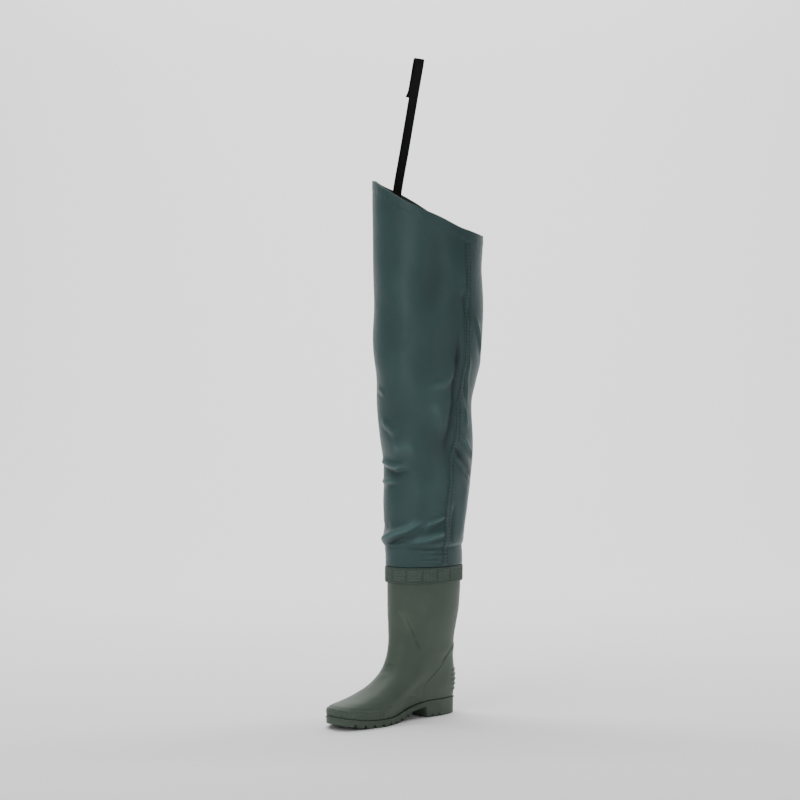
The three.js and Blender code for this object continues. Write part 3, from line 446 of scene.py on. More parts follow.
# Folds of the cloth: a path of (degrees, share of the leg's rise), the height of the fold in mm, negative for
# a trough, its width in mm, and the depth of the furrow that lies under a ridge.
FOLDS = table("path out width under", [
    # over the ankle, front and inner side
    (((-47, 0.01), (-22, 0.024), (26, 0.052), (58, 0.086)), 7.4, 7.2, 3.4),
    (((30, 0.016), (58, 0.028), (88, 0.046)), 6.2, 5.8, 2.2),
    (((50, 0.058), (66, 0.074), (84, 0.09)), 5.0, 5.0, 2.4),
    (((-50, 0.06), (-30, 0.05), (0, 0.062)), -2.4, 7.0, 0),
    (((2, 0.012), (16, 0.024), (30, 0.03)), 1.6, 2.4, 0.6),
    (((116, 0.0), (117, 0.09), (114, 0.2)), 2.2, 13.0, 0),
    (((97, -0.01), (95, 0.06), (92, 0.13)), -2.6, 4.0, 0),
    # shin
    (((-48, 0.232), (-20, 0.228), (6, 0.217), (30, 0.228)), 4.2, 5.0, 2.2),
    (((-48, 0.176), (-20, 0.177), (14, 0.183)), 3.0, 4.4, 1.4),
    (((-34, 0.2), (10, 0.198), (38, 0.206)), -1.6, 7.0, 0),
    (((2, 0.276), (22, 0.273), (40, 0.262)), 3.0, 10.0, 0),
    (((30, 0.13), (52, 0.16), (70, 0.2)), 1.4, 14.0, 0),
    # behind the inner seam, under the knee
    (((82, 0.62), (85, 0.53), (84, 0.45), (87, 0.39), (82, 0.33), (76, 0.285), (76, 0.23)), -4.6, 6.5, 0),
    (((82, 0.295), (101, 0.238), (120, 0.205), (140, 0.178)), -4.4, 5.4, 0),
    (((96, 0.31), (114, 0.268), (134, 0.235)), 3.4, 3.8, 1.6),
    (((88, 0.25), (104, 0.215), (125, 0.18)), 3.4, 3.6, 1.4),
    (((108, 0.38), (109, 0.32)), 2.2, 3.2, 0),
    # knee
    (((-28, 0.433), (-4, 0.413)), 2.0, 5.4, 0.5),
    (((-18, 0.345), (-2, 0.326), (12, 0.298)), 2.2, 6.6, 0.5),
    (((50, 0.428), (70, 0.44), (80, 0.462), (82, 0.51)), 2.8, 6.5, 0),
    (((96, 0.53), (104, 0.45), (116, 0.38)), 3.2, 4.0, 1.6),
    (((58, 0.4), (66, 0.36), (66, 0.31)), 1.8, 9.0, 0),
    # thigh
    (((106, 0.63), (118, 0.575), (129, 0.51)), 3.0, 4.6, 1.2),
    (((87, 0.7), (92, 0.65), (98, 0.605)), -3.0, 8.0, 0),
    (((18, 0.8), (24, 0.66), (20, 0.53)), 2.2, 20.0, 0),
    (((54, 0.88), (58, 0.74), (52, 0.6)), -2.4, 17.0, 0),
    # back of the ankle and of the calf
    (((150, 0.005), (168, 0.03), (192, 0.05)), 4.0, 5.4, 3.0),
    (((176, 0.006), (205, 0.028), (240, 0.034)), 4.4, 5.0, 3.0),
    (((150, 0.085), (170, 0.075), (198, 0.09)), 3.0, 4.4, 2.0),
    (((212, 0.08), (236, 0.068), (264, 0.05)), 3.6, 4.6, 2.6),
    (((266, 0.006), (286, 0.026), (304, 0.038)), 4.0, 5.2, 2.8),
    (((150, 0.15), (182, 0.168), (216, 0.152)), 3.0, 4.6, 1.8),
    (((268, 0.14), (290, 0.15), (308, 0.165)), 2.6, 4.4, 1.8),
    # hollow of the knee and outer side
    (((148, 0.3), (180, 0.275), (216, 0.295)), -3.2, 7.4, 0),
    (((150, 0.345), (182, 0.325), (220, 0.34)), 4.0, 5.2, 2.2),
    (((158, 0.245), (186, 0.232), (224, 0.252)), 3.6, 4.8, 2.2),
    (((160, 0.41), (190, 0.395), (218, 0.42)), -2.6, 7.4, 0),
    (((234, 0.29), (258, 0.31), (284, 0.345)), 3.4, 4.8, 2.0),
    (((238, 0.4), (262, 0.375), (292, 0.37)), -3.2, 6.4, 0),
    (((274, 0.415), (292, 0.435), (306, 0.44)), 2.6, 4.6, 1.4),
    (((282, 0.25), (300, 0.268), (310, 0.27)), 2.6, 4.6, 1.4),
    (((170, 0.52), (178, 0.6), (174, 0.7)), -2.8, 12.0, 0),
    (((204, 0.5), (212, 0.58), (208, 0.68)), 2.4, 12.0, 0),
    (((290, 0.5), (300, 0.6), (298, 0.72)), -2.0, 13.0, 0),
])
# Small level wrinkles of the cuff: ends in degrees, share of the cuff's height.
CUFF_WRINKLES = table("start end up out", [
    (48, 72, 0.86, 0.9),
    (58, 96, 0.62, 1.0),
    (40, 82, 0.36, 0.9),
    (66, 100, 0.2, -0.7),
    (150, 196, 0.55, 0.8),
    (205, 240, 0.32, 0.8),
    (285, 330, 0.45, 0.7),
])
# Broad unevenness: how often a wave comes round the leg, the mm in which it rises, its phase and its height.
SLOW_WAVES = table("turns rise phase high", [
    (2, 190, 0.4, 0.9),
    (3, 120, 2.1, 0.7),
    (5, -160, 4.0, 0.45),
    (8, 90, 1.0, 0.2),
])
SHAFT_SHARES = (0.6, 1, 4001)  # shares of the way up the boot that are searched for a height of the shaft
FOLD_RUN_OUT = 0.3  # share of its path over which a fold runs out at each end
FURROW_BELOW, FURROW_WIDTH = 1.5, 0.8  # of the ridge's width
FOLDS_START = (-2, 13)  # mm over the cuff in which the folds begin
DEEPEST, DEEPER_OVER = -4.5, 400  # lowest relief in mm at the floor, and mm up for each mm more
CREASE_WIDTH, WRINKLE_WIDTH = 3.0, 1.5  # mm
# Height of the crease over the cuff, and its depth: mean, height of its wave, turns and phase.
CREASE_UP, CREASE_DEEP = (2, 1.2, 3, 0.6), (0.8, 0.4, 2, -0.5)
WRINKLE_RUN_OUT = 0.5  # share of half its length over which a wrinkle runs out
CALM_AT_RIM, CALM_HEIGHT = 0.2, 60  # share of the folds left at the rim, and mm down to where all are
TAB_SPREAD, TAB_REACH = 14, (-170, -110)  # degrees, and mm over the rim, that the sewn tab holds flat
BOOT_EASE = 8  # mm over the boot in which cuff and crease begin


class LegForm:
    """The coated leg as oval sections that are pushed in and out by its folds."""

    def __init__(self, s, boot):
        self.s = s
        outside = CLEARANCE + s.leg_wall
        shares = np.linspace(*SHAFT_SHARES)
        rows = []
        for z in (s.band_bottom, s.boot_height):
            v = np.interp((z - s.heel_height) / s.shaft_rise, boot.curves["front_up"](shares), shares)
            front, back, half = (float(boot.curves[name](v)) for name in ("front", "back", "waist"))
            row = {"z": z, "half": half + outside, "reach": (front - back) / 2 + outside}
            rows.append({**row, "forward": (front + back) / 2 - s.heel_centre})
        for z in (s.boot_height + s.cuff_step, (s.boot_height + s.cuff_top) / 2):
            wider = {name: rows[1][name] + s.band_thickness for name in ("half", "reach")}
            rows.append({**rows[1], **wider, "z": z})
        for row in LEG_SECTIONS:
            oval = {"half": row["width"] * s.thigh_width / 2, "reach": row["depth"] * s.thigh_depth / 2}
            forward = row["forward"] * s.thigh_depth
            rows.append({**oval, "z": s.cuff_top + row["up"] * s.leg_rise, "forward": forward})
        self.half = curve_of(rows, "z", "half")
        self.reach = curve_of(rows, "z", "reach")
        self.forward = curve_of(rows, "z", "forward")
        self.rim_share = curve_of(RIM, "angle", "share")

    def rim(self, angle):
        """Height of the rim: a smooth curve round the leg, high at the outer front."""
        degrees = np.degrees(angle) % 360
        degrees = np.where(degrees > RIM[-1]["angle"], degrees - 360, degrees)
        return self.s.wader_height - self.s.rim_drop * (1 - self.rim_share(degrees))

    def bare(self, z, angle, out=0.0):
        """Points of the leg without its folds: an oval section at each height, wider and deeper by out."""
        x = (self.half(z) + out) * np.sin(angle)
        y = -self.forward(z) - (self.reach(z) + out) * np.cos(angle)
        return np.stack([x, y, z + 0 * angle], -1)

    def fold(self, z, angle, path, out, width, under):
        """Height of one fold. On the unrolled leg a point's signed distance to the fold's path gives a
        bell, with a second, lower bell of the other sign under it, and both run out towards the path's
        ends."""
        centre = math.radians(sum(a for a, _ in path) / len(path))
        radius = (self.half(z) + self.reach(z)) / 2
        across = ((angle - centre + math.pi) % (2 * math.pi) - math.pi) * radius
        level = np.array([self.s.cuff_top + up * self.s.leg_rise for _, up in path])
        middle = (self.half(level.mean()) + self.reach(level.mean())) / 2
        sideways = (np.radians([a for a, _ in path]) - centre) * middle
        knots = np.stack([sideways, level], -1)
        steps = np.diff(knots, axis=0)
        reach = np.linalg.norm(steps, axis=1)
        nearest = np.full(across.shape, np.inf)
        share, side = np.zeros(across.shape), np.ones(across.shape)
        passed = 0.0
        for knot, step, span in zip(knots, steps, reach):
            offset = np.stack([across - knot[0], z - knot[1] + 0 * across], -1)
            along = np.clip(offset @ step / span**2, 0, 1)
            away = offset - along[..., None] * step
            distance = np.linalg.norm(away, axis=-1)
            closer = distance < nearest
            share = np.where(closer, (passed + along * span) / reach.sum(), share)
            side = np.where(closer, np.sign(away[..., 1] * step[0] - away[..., 0] * step[1]), side)
            nearest = np.minimum(nearest, distance)
            passed += span
        upward = np.sign(steps.sum(0)[0]) or 1.0
        signed = nearest * side * upward
        ends = smoothstep(np.minimum(share, 1 - share), 0, FOLD_RUN_OUT)
        ridge = out * np.exp(-((signed / width) ** 2))
        furrow = under * np.exp(-(((signed + FURROW_BELOW * width) / (FURROW_WIDTH * width)) ** 2))
        return (ridge - furrow) * ends

    def relief(self, z, angle):
        """All folds together, the crease over the cuff, the cuff's wrinkles, and a slow unevenness from a
        few long waves. It fades out on the boot, at the hem and round the sewn tab."""
        s = self.s
        z = z + 0 * angle
        total = sum(self.fold(z, angle, **row) for row in FOLDS)
        for row in SLOW_WAVES:
            total += row["high"] * np.sin(row["turns"] * angle + 2 * np.pi * z / row["rise"] + row["phase"])
        total *= smoothstep(z - s.cuff_top, *FOLDS_START)
        total = np.maximum(total, DEEPEST - z / DEEPER_OVER)
        crease_at = s.cuff_top + waved(angle, *CREASE_UP)
        crease = -waved(angle, *CREASE_DEEP) * np.exp(-(((z - crease_at) / CREASE_WIDTH) ** 2))
        degrees = np.degrees(angle) % 360
        for row in CUFF_WRINKLES:
            middle, half = (row["start"] + row["end"]) / 2, (row["end"] - row["start"]) / 2
            ends = smoothstep(1 - np.abs(degrees - middle) / half, 0, WRINKLE_RUN_OUT)
            level = s.boot_height + row["up"] * s.cuff_height
            crease += row["out"] * ends * np.exp(-(((z - level) / WRINKLE_WIDTH) ** 2))
        below_rim = self.rim(angle) - z
        calm = mix(CALM_AT_RIM, 1, smoothstep(below_rim, 0, CALM_HEIGHT))
        tab = np.exp(-(((degrees - OUTSEAM[-1]["angle"]) / TAB_SPREAD) ** 2))
        tab = tab * smoothstep(-below_rim, *TAB_REACH)
        return (total * calm * (1 - tab) + crease) * smoothstep(z - s.boot_height, 0, BOOT_EASE)

    def surface(self, z, angle, out=0.0, step=0.02):
        """Points of the folded leg, moved out: the bare form plus relief along its normal, which is the
        cross product of the bare form's slopes round and up."""
        around = self.bare(z, angle + step / 20) - self.bare(z, angle - step / 20)
        up = self.bare(z + step, angle) - self.bare(z - step, angle)
        return self.bare(z, angle) + unit(np.cross(around, up)) * (self.relief(z, angle) + out)[..., None]


# Meshes

STITCH_SIDES, STITCH_RINGS = 6, 5
STITCH_SHARE = 0.72  # of the pitch is thread, and the rest is hidden
STITCH_SINK = 0.3  # of its thickness, by which a stitch goes down at its ends
STITCH_TIP = 0.05  # keeps its two end faces from closing
STITCH_AHEAD = 0.5  # mm further on, where a line's direction is taken
MERGE_GAP, SLIVER = 2e-6, 1e-6  # m within which points are one, and an edge is nothing


def quads_of(rows, columns, ring=False):
    """Corner numbers of the quads of a grid whose columns close, and whose rows close too if it is a ring.
    The second array counts on past the seams, for the UV map."""
    r = np.arange(rows if ring else rows - 1)[:, None]
    c = np.arange(columns)[None, :]
    wrapped, counted = [], []
    for down, right in ((0, 0), (0, 1), (1, 1), (1, 0)):
        wrapped.append(((r + down) % rows) * columns + (c + right) % columns)
        counted.append((r + down) * (columns + 1) + c + right)
    return np.stack(wrapped, -1).reshape(-1, 4), np.stack(counted, -1).reshape(-1, 4)


def end_caps(rows, columns, stride=None):
    """Corner numbers of a bar's two flat ends: its first ring, turned over, and its last."""
    ring = np.arange(columns)
    return np.stack([ring[::-1], ring + (rows - 1) * (stride or columns)])


def turn_of(points, faces):
    """1 or -1, the step that reads the faces' corners outwards. It is the sign of the volume that they
    enclose: a sixth of the triple products of each face's triangle fan."""
    total = 0.0
    for corners in faces:
        a, b, c = points[corners[:, 0]], points[corners[:, 1:-1]], points[corners[:, 2:]]
        total += np.einsum("ij,ikj->", a, np.cross(b, c))
    return -1 if total < 0 else 1


def mesh_piece(name, points, faces, uvs=(), marks=None, sharp=None, merge=False):
    """An object at the origin from points in mm and arrays of faces, which are turned outwards. uvs are in
    metres, marks are named values at the points, and edges are hard above sharp degrees. With merge, points
    that fall together become one."""
    points = points.reshape(-1, 3)
    turn = turn_of(points, faces)
    faces = [corners[:, ::turn] for corners in faces]
    mesh = bpy.data.meshes.new(name)
    mesh.vertices.add(len(points))
    mesh.vertices.foreach_set("co", (points * MM).astype(np.float32).ravel())
    corners = np.concatenate([f.ravel() for f in faces])
    starts = np.concatenate([np.full(len(f), f.shape[1]) for f in faces]).cumsum()
    mesh.loops.add(len(corners))
    mesh.loops.foreach_set("vertex_index", corners.astype(np.int32))
    mesh.polygons.add(len(starts))
    mesh.polygons.foreach_set("loop_start", np.concatenate([[0], starts[:-1]]).astype(np.int32))
    mesh.update(calc_edges=True)
    if uvs:
        flat = np.concatenate([uv[:, ::turn].reshape(-1, 2) for uv in uvs])
        mesh.uv_layers.new(name="flat").data.foreach_set("uv", flat.astype(np.float32).ravel())
    for mark, values in (marks or {}).items():
        attribute = mesh.attributes.new(mark, "FLOAT", "POINT")
        attribute.data.foreach_set("value", np.ravel(values).astype(np.float32))
    mesh.validate()
    mesh.shade_smooth()
    if sharp:
        mesh.set_sharp_from_angle(angle=math.radians(sharp))
    if merge:
        joined = bmesh.new()
        joined.from_mesh(mesh)
        bmesh.ops.remove_doubles(joined, verts=joined.verts, dist=MERGE_GAP)
        bmesh.ops.dissolve_degenerate(joined, dist=SLIVER, edges=joined.edges)
        joined.to_mesh(mesh)
        joined.free()
    piece = bpy.data.objects.new(name, mesh)
    bpy.context.scene.collection.objects.link(piece)
    return piece


def wall_uv(points):
    """Flat places of a wall's points, one row and one column past its seams: the mean girth times the share
    round it, and the length walked up the outer face and down the inner one."""
    points = np.concatenate([points, points[:1]])
    closed = np.concatenate([points, points[:, :1]], 1)
    around = walked(np.linalg.norm(np.diff(closed, axis=1), axis=-1).mean(0))
    along = walked(np.linalg.norm(np.diff(points, axis=0), axis=-1).mean(1))
    return np.stack(np.broadcast_arrays(around[None, :], along[:, None]), -1).reshape(-1, 2)


def wall_piece(name, outer, inner, marks, mapped=True, sharp=None):
    """A hollow wall from rows up its outer and its inner face, closed into a ring both ways. Each mark has
    values for the outer and for the inner face."""
    points = np.concatenate([outer, inner[::-1]])
    wrapped, counted = quads_of(*points.shape[:2], ring=True)
    uvs = [wall_uv(points)[counted] * MM] if mapped else ()
    values = {}
    for mark, sides in marks.items():
        faces = [np.broadcast_to(side, face.shape[:2]) for side, face in zip(sides, (outer, inner))]
        values[mark] = np.concatenate(faces)
    return mesh_piece(name, points, [wrapped], uvs, values, sharp)


def bar_piece(name, rings, uv):
    """A bar from rings of points along it, with flat ends. uv holds flat places in mm, one column past the
    seam."""
    rows, columns = rings.shape[:2]
    wrapped, counted = quads_of(rows, columns)
    flat = uv.reshape(-1, 2) * MM
    uvs = [flat[counted], flat[end_caps(rows, columns, columns + 1)]]
    return mesh_piece(name, rings, [wrapped, end_caps(rows, columns)], uvs)


def stitch_shape(long, thick):
    """One stitch: its thickness is a half circle over its length, and it sinks by a square at both ends."""
    share = np.linspace(-1, 1, STITCH_RINGS)[:, None]
    turn = round_angles(STITCH_SIDES)
    fat = np.sqrt(np.maximum(1 - share**2, STITCH_TIP)) * thick / 2
    up = fat * np.sin(turn) - STITCH_SINK * thick * share**2
    points = np.stack([share * long / 2 + 0 * turn, fat * np.cos(turn), up], -1)
    faces = [quads_of(STITCH_RINGS, STITCH_SIDES)[0], end_caps(STITCH_RINGS, STITCH_SIDES)]
    return points.reshape(-1, 3), faces


def scatter(shape, faces, origins, axes):
    """Copies of a small shape: its points times the axes of each place, plus the place. Returns the points
    and the faces of them all."""
    points = origins[:, None] + np.einsum("pk,nkj->npj", shape, axes)
    shift = np.arange(len(origins))[:, None, None] * len(shape)
    return points.reshape(-1, 3), [(corners[None] + shift).reshape(-1, corners.shape[1]) for corners in faces]


def sampled(at, walk, values):
    """Each column of the values at places along a walk."""
    return np.stack([np.interp(at, walk, column) for column in values.T], -1)


def stitches_piece(name, lines, pitch, thick):
    """Threads along lines of points with normals, one for each pitch, each lying along its line."""
    origins, axes = [], []
    for points, normals in lines:
        walk = walked(np.linalg.norm(np.diff(points, axis=0), axis=-1))
        at = np.arange(pitch, walk[-1] - pitch / 2, pitch)
        place = sampled(at, walk, points)
        along = unit(sampled(at + STITCH_AHEAD, walk, points) - place)
        side = unit(np.cross(sampled(at, walk, normals), along))
        origins.append(place)
        axes.append(np.stack([along, side, np.cross(along, side)], 1))
    shape = stitch_shape(STITCH_SHARE * pitch, thick)
    points, faces = scatter(*shape, np.concatenate(origins), np.concatenate(axes))
    return mesh_piece(name, points, faces)


# Materials. A Mix node of colours has its factor at input 0, the colours at 6 and 7, and its output at 2.


def feed(tree, node, inputs):
    """Gives each input of a node its value, or links the output that feeds it."""
    for socket, value in inputs.items():
        if isinstance(value, bpy.types.NodeSocket):
            tree.links.new(value, node.inputs[socket])
        else:
            node.inputs[socket].default_value = value


def add_node(tree, kind, inputs=None, **settings):
    """The outputs of a new shader node with its settings and its inputs."""
    made = tree.nodes.new("ShaderNode" + kind)
    for setting, value in settings.items():
        setattr(made, setting, value)
    feed(tree, made, inputs or {})
    return made.outputs


def tinted(base, factor):
    """A colour made lighter or darker by a factor."""
    return tuple(min(1.0, c * factor) for c in base[:3]) + (1.0,)


def cells(size):
    """Scale of a noise or cell texture whose cells are size mm wide."""
    return 1 / (size * MM)


def waves(size):
    """Scale of a wave texture whose bands are size mm apart. It runs through 20 radians in each unit."""
    return 2 * math.pi / (20 * size * MM)


def new_material(name):
    """An empty node material, its tree and its surface shader."""
    material = bpy.data.materials.new(name)
    material.use_nodes = True
    return material, material.node_tree, material.node_tree.nodes["Principled BSDF"]


def moulded_pvc(name, base, roughness, grain=0.9):
    """Injection-moulded PVC, which gives the eye a satin skin of faintly cloudy colour. Fine mould grain
    breaks up its highlights, crests and knurled tips get a painted highlight, furrows get painted shade,
    and stippled places look pebbled. The grain, in mm, and the 3 mm stipple are drawn coarser than real,
    so that they show."""
    material, tree, shader = new_material(name)
    place = add_node(tree, "TexCoord")["Object"]
    cloud = add_node(tree, "TexNoise", {"Vector": place, "Scale": cells(38), "Detail": 3.0})["Fac"]
    skin = add_node(tree, "Mix", {0: cloud, 6: tinted(base, 0.86), 7: tinted(base, 1.14)}, data_type="RGBA")
    # Painted highlight and shade: the colour is lighter where a mark stands out and darker in its furrows.
    painted_relief_light = add_node(tree, "Attribute", attribute_name="painted_relief_light")["Fac"]
    factor = add_node(tree, "MapRange", {"Value": painted_relief_light, "From Min": -1.0, "To Min": 0.45, "To Max": 1.55})
    relief_lit = add_node(tree, "VectorMath", {0: skin[2], "Scale": factor[0]}, operation="SCALE")
    # Painted highlight on the knurled tips: their colour goes up to 2.3 times the base.
    tip = add_node(tree, "Attribute", attribute_name="tip")["Fac"]
    tips_lit = add_node(tree, "Mix", {0: tip, 6: relief_lit[0], 7: tinted(base, 2.3)}, data_type="RGBA")
    fine = add_node(tree, "TexNoise", {"Vector": place, "Scale": cells(grain), "Detail": 2.0})["Fac"]
    grained = add_node(tree, "Bump", {"Height": fine, "Strength": 0.1, "Distance": 0.25 * MM})["Normal"]
    dots = add_node(tree, "TexVoronoi", {"Vector": place, "Scale": cells(3.0)})["Distance"]
    stipple = add_node(tree, "Attribute", attribute_name="stipple")["Fac"]
    dotted = add_node(tree, "Math", {0: dots, 1: stipple}, operation="MULTIPLY")[0]
    relief = {"Height": dotted, "Strength": 1.0, "Distance": 1.4 * MM, "Normal": grained}
    sheen = {"Value": cloud, "To Min": roughness - 0.05, "To Max": roughness + 0.07}
    feed(tree, shader, {
        "Base Color": tips_lit[2],
        "Roughness": add_node(tree, "MapRange", sheen)[0],
        "Normal": add_node(tree, "Bump", relief)["Normal"],
        "IOR": 1.53,
        "Specular IOR Level": 0.17,
    })
    return material


def coated_cloth(name, base, lining, roughness=0.44, thread=1.1):
    """Woven polyester under a satin PVC coating, which gives the eye broad cloudy colour, a painted
    highlight on the crests of its folds and painted shade in their furrows, and a fine grid where the weave
    shows through. The inner face has the colour of the bare cloth. Real threads lie 0.4 mm apart and are
    drawn coarser, thread mm apart, so that they show."""
    material, tree, shader = new_material(name)
    place = add_node(tree, "TexCoord")
    cloud = add_node(tree, "TexNoise", {"Vector": place["Object"], "Scale": cells(70), "Detail": 4.0})
    shades = {0: cloud["Fac"], 6: tinted(base, 0.84), 7: tinted(base, 1.16)}
    coat = add_node(tree, "Mix", shades, data_type="RGBA")[2]
    # Painted highlight and shade of the folds: the coating's colour is scaled up on crests and down in
    # furrows.
    painted_relief_light = add_node(tree, "Attribute", attribute_name="painted_relief_light")["Fac"]
    factor = add_node(tree, "MapRange", {"Value": painted_relief_light, "From Min": -1.0, "To Min": 0.4, "To Max": 1.8})
    outside = add_node(tree, "VectorMath", {0: coat, "Scale": factor[0]}, operation="SCALE")[0]
    inside = add_node(tree, "Attribute", attribute_name="inside")["Fac"]
    both = add_node(tree, "Mix", {0: inside, 6: outside, 7: tuple(lining)}, data_type="RGBA")
    grid = {"Vector": place["UV"], "Scale": waves(thread)}
    warp = add_node(tree, "TexWave", grid, bands_direction="X")["Fac"]
    weft = add_node(tree, "TexWave", grid, bands_direction="Y")["Fac"]
    weave = add_node(tree, "Math", {0: warp, 1: weft}, operation="MULTIPLY")[0]
    slub = add_node(tree, "TexNoise", {"Vector": place["Object"], "Scale": cells(9), "Detail": 3.0})["Fac"]
    soft = add_node(tree, "Bump", {"Height": slub, "Strength": 0.22, "Distance": 1.2 * MM})["Normal"]
    relief = {"Height": weave, "Strength": 0.3, "Distance": 0.15 * MM, "Normal": soft}
    sheen = {"Value": slub, "To Min": roughness - 0.05, "To Max": roughness + 0.08}
    feed(tree, shader, {
        "Base Color": both[2],
        "Roughness": add_node(tree, "MapRange", sheen)[0],
        "Normal": add_node(tree, "Bump", relief)["Normal"],
        "IOR": 1.5,
        "Specular IOR Level": 0.28,
    })
    return material


def woven_webbing(name, base):
    """Polypropylene webbing, which gives the eye dull black yarn in ribs across the strap, crossed by
    slanted threads with a painted highlight that makes them lighter than the yarn. Ribs are drawn 1.6 mm
    and threads 1.1 mm apart, coarser than real."""
    material, tree, shader = new_material(name)
    place = add_node(tree, "TexCoord")["UV"]
    ribs = add_node(tree, "TexWave", {"Vector": place, "Scale": waves(1.6)}, bands_direction="Y")
    turned = add_node(tree, "Mapping", {"Vector": place, "Rotation": (0, 0, math.radians(38))})[0]
    yarn = add_node(tree, "TexWave", {"Vector": turned, "Scale": waves(1.1)}, bands_direction="X")["Fac"]
    weave = add_node(tree, "Math", {0: ribs["Fac"], 1: yarn}, operation="ADD")[0]
    # Painted highlight on the slanted threads: their colour goes from 0.7 to 1.5 times the base.
    shade = add_node(tree, "Mix", {0: yarn, 6: tinted(base, 0.7), 7: tinted(base, 1.5)}, data_type="RGBA")
    feed(tree, shader, {
        "Base Color": shade[2],
        "Normal": add_node(tree, "Bump", {"Height": weave, "Strength": 0.6, "Distance": 0.3 * MM})["Normal"],
        "IOR": 1.49,
        "Roughness": 0.75,
        "Specular IOR Level": 0.15,
    })
    return material


def sewing_thread(name, base):
    """Bonded polyester thread, which gives the eye dull dashes with a slight twist in light and dark."""
    material, tree, shader = new_material(name)
    place = add_node(tree, "TexCoord")["Object"]
    twist = add_node(tree, "TexNoise", {"Vector": place, "Scale": cells(0.5)})["Fac"]
    shade = add_node(tree, "Mix", {0: twist, 6: tinted(base, 0.75), 7: tinted(base, 1.25)}, data_type="RGBA")
    feed(tree, shader, {"Base Color": shade[2], "Roughness": 0.6})
    return material


def knitted_sock(name, base):
    """Knitted polyester lining, which gives the eye a matt, slightly fuzzy field of loops, lighter in their
    middles with painted shade where they meet. The loops are drawn 1.4 mm wide, coarser than real."""
    material, tree, shader = new_material(name)
    place = add_node(tree, "TexCoord")["Object"]
    loops = add_node(tree, "TexVoronoi", {"Vector": place, "Scale": cells(1.4)})["Distance"]
    # Painted shade between the loops: 1.2 times the base in a loop's middle, 0.7 at its edge.
    shade = add_node(tree, "Mix", {0: loops, 6: tinted(base, 1.2), 7: tinted(base, 0.7)}, data_type="RGBA")
    feed(tree, shader, {
        "Base Color": shade[2],
        "Normal": add_node(tree, "Bump", {"Height": loops, "Strength": 0.6, "Distance": 0.5 * MM})["Normal"],
        "Roughness": 0.95,
        "Sheen Weight": 0.2,
    })
    return material


def matt_paper(name, base):
    """Seamless studio paper, which gives the eye an even, pale ground without a horizon."""
    material, tree, shader = new_material(name)
    feed(tree, shader, {"Base Color": tuple(base), "Roughness": 0.9, "Specular IOR Level": 0.2})
    return material


def dress(piece, material, slot, *nodes):
    """Gives a piece its material, makes it ride on the part, and hides the solids it stands for. Its slot is
    not used."""
    piece.data.materials.append(material)
    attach(piece, "root")
    if nodes:
        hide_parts(*nodes)


# The studio, in metres. The camera stands where the photographer did.

EYE = Vector((2.2323, -2.1517, 0.53))
TARGET = Vector((-0.0389, -0.0389, 0.53))
LENS, SENSOR = 82.3, 36.0  # mm
CLIP_END = 60
AWAY = np.array([TARGET.x - EYE.x, TARGET.y - EYE.y]) / (TARGET - EYE).length
ASIDE = np.array([AWAY[1], -AWAY[0]])
# The paper lies level from behind the camera to its bend, bends up in a quarter circle and goes on as a wall.
PAPER_START, BEND_START, BEND_RADIUS, WALL_TOP, PAPER_HALF = -9.0, 2.0, 1.8, 7.0, 9
BEND_POINTS = 33
SKY, SKY_STRENGTH = "#ffffff", 0.25
# Area lamps: name, place, aim, width, height and watts.
LAMPS = (
    ("key", (0.9, -3.0, 1.4), (0, 0, 0.4), 1.1, 1.6, 22.0),
    ("top", (0.2, -0.9, 2.9), (0, 0, 0.4), 1.2, 1.2, 22.0),
    ("fill", (3.6, -0.3, 1.0), (0, 0, 0.35), 0.8, 2.0, 12.0),
    ("backdrop", (*(1.3 * AWAY), 4.2), (*(3.6 * AWAY), 1.0), 5.0, 0.8, 300.0),
)


def place_object(scene, name, data, place=(0, 0, 0), aim=None):
    """An object in the scene at a place, with its -Z axis towards its aim if it has one."""
    made = bpy.data.objects.new(name, data)
    made.location = place
    if aim is not None:
        made.rotation_euler = (Vector(aim) - Vector(place)).to_track_quat("-Z", "Y").to_euler()
    scene.collection.objects.link(made)
    return made


class WADER_OT_studio(bpy.types.Operator):
    """Make the camera, the floor, the light and the sky"""

    bl_idname = "wader.make_studio"
    bl_label = "Studio"

    def execute(self, context):
        scene = context.scene
        camera = bpy.data.cameras.new("camera")
        camera.lens = LENS
        camera.sensor_width = SENSOR
        camera.clip_end = CLIP_END
        scene.camera = place_object(scene, "camera", camera, EYE, TARGET)
        bend = np.linspace(0, np.pi / 2, BEND_POINTS)
        reach = [PAPER_START, *(BEND_START + BEND_RADIUS * np.sin(bend)), BEND_START + BEND_RADIUS]
        rise = [0.0, *(BEND_RADIUS - BEND_RADIUS * np.cos(bend)), WALL_TOP]
        points = []
        for r, z in zip(reach, rise):
            points += [(*(r * AWAY + w * ASIDE), z) for w in (-PAPER_HALF, PAPER_HALF)]
        paper = bpy.data.meshes.new("floor")
        paper.from_pydata(points, [], [(i, i + 1, i + 3, i + 2) for i in range(0, len(points) - 2, 2)])
        paper.shade_smooth()
        paper.materials.append(matt_paper("studio_paper", scene.wader_colours.floor))
        place_object(scene, "floor", paper)
        world = bpy.data.worlds.new("studio")
        world.use_nodes = True
        sky = world.node_tree.nodes["Background"]
        feed(world.node_tree, sky, {"Color": linear(SKY), "Strength": SKY_STRENGTH})
        scene.world = world
        for name, place, aim, wide, tall, watts in LAMPS:
            lamp = bpy.data.lights.new(name, "AREA")
            lamp.shape = "RECTANGLE"
            lamp.size = wide
            lamp.size_y = tall
            lamp.energy = watts
            place_object(scene, name, lamp, place, aim)
        return {"FINISHED"}


# The sole and the insole, in mm.

SOLE_ACROSS = (-0.97, -0.6, -0.2, 0.2, 0.6, 0.97)  # shares of the half width, across the underside
SOLE_SIDE = (0.35, 0.7, 1.0)  # shares of the way up the side, from its lower corner to the lip
SOLE_CHAMFER = 0.7
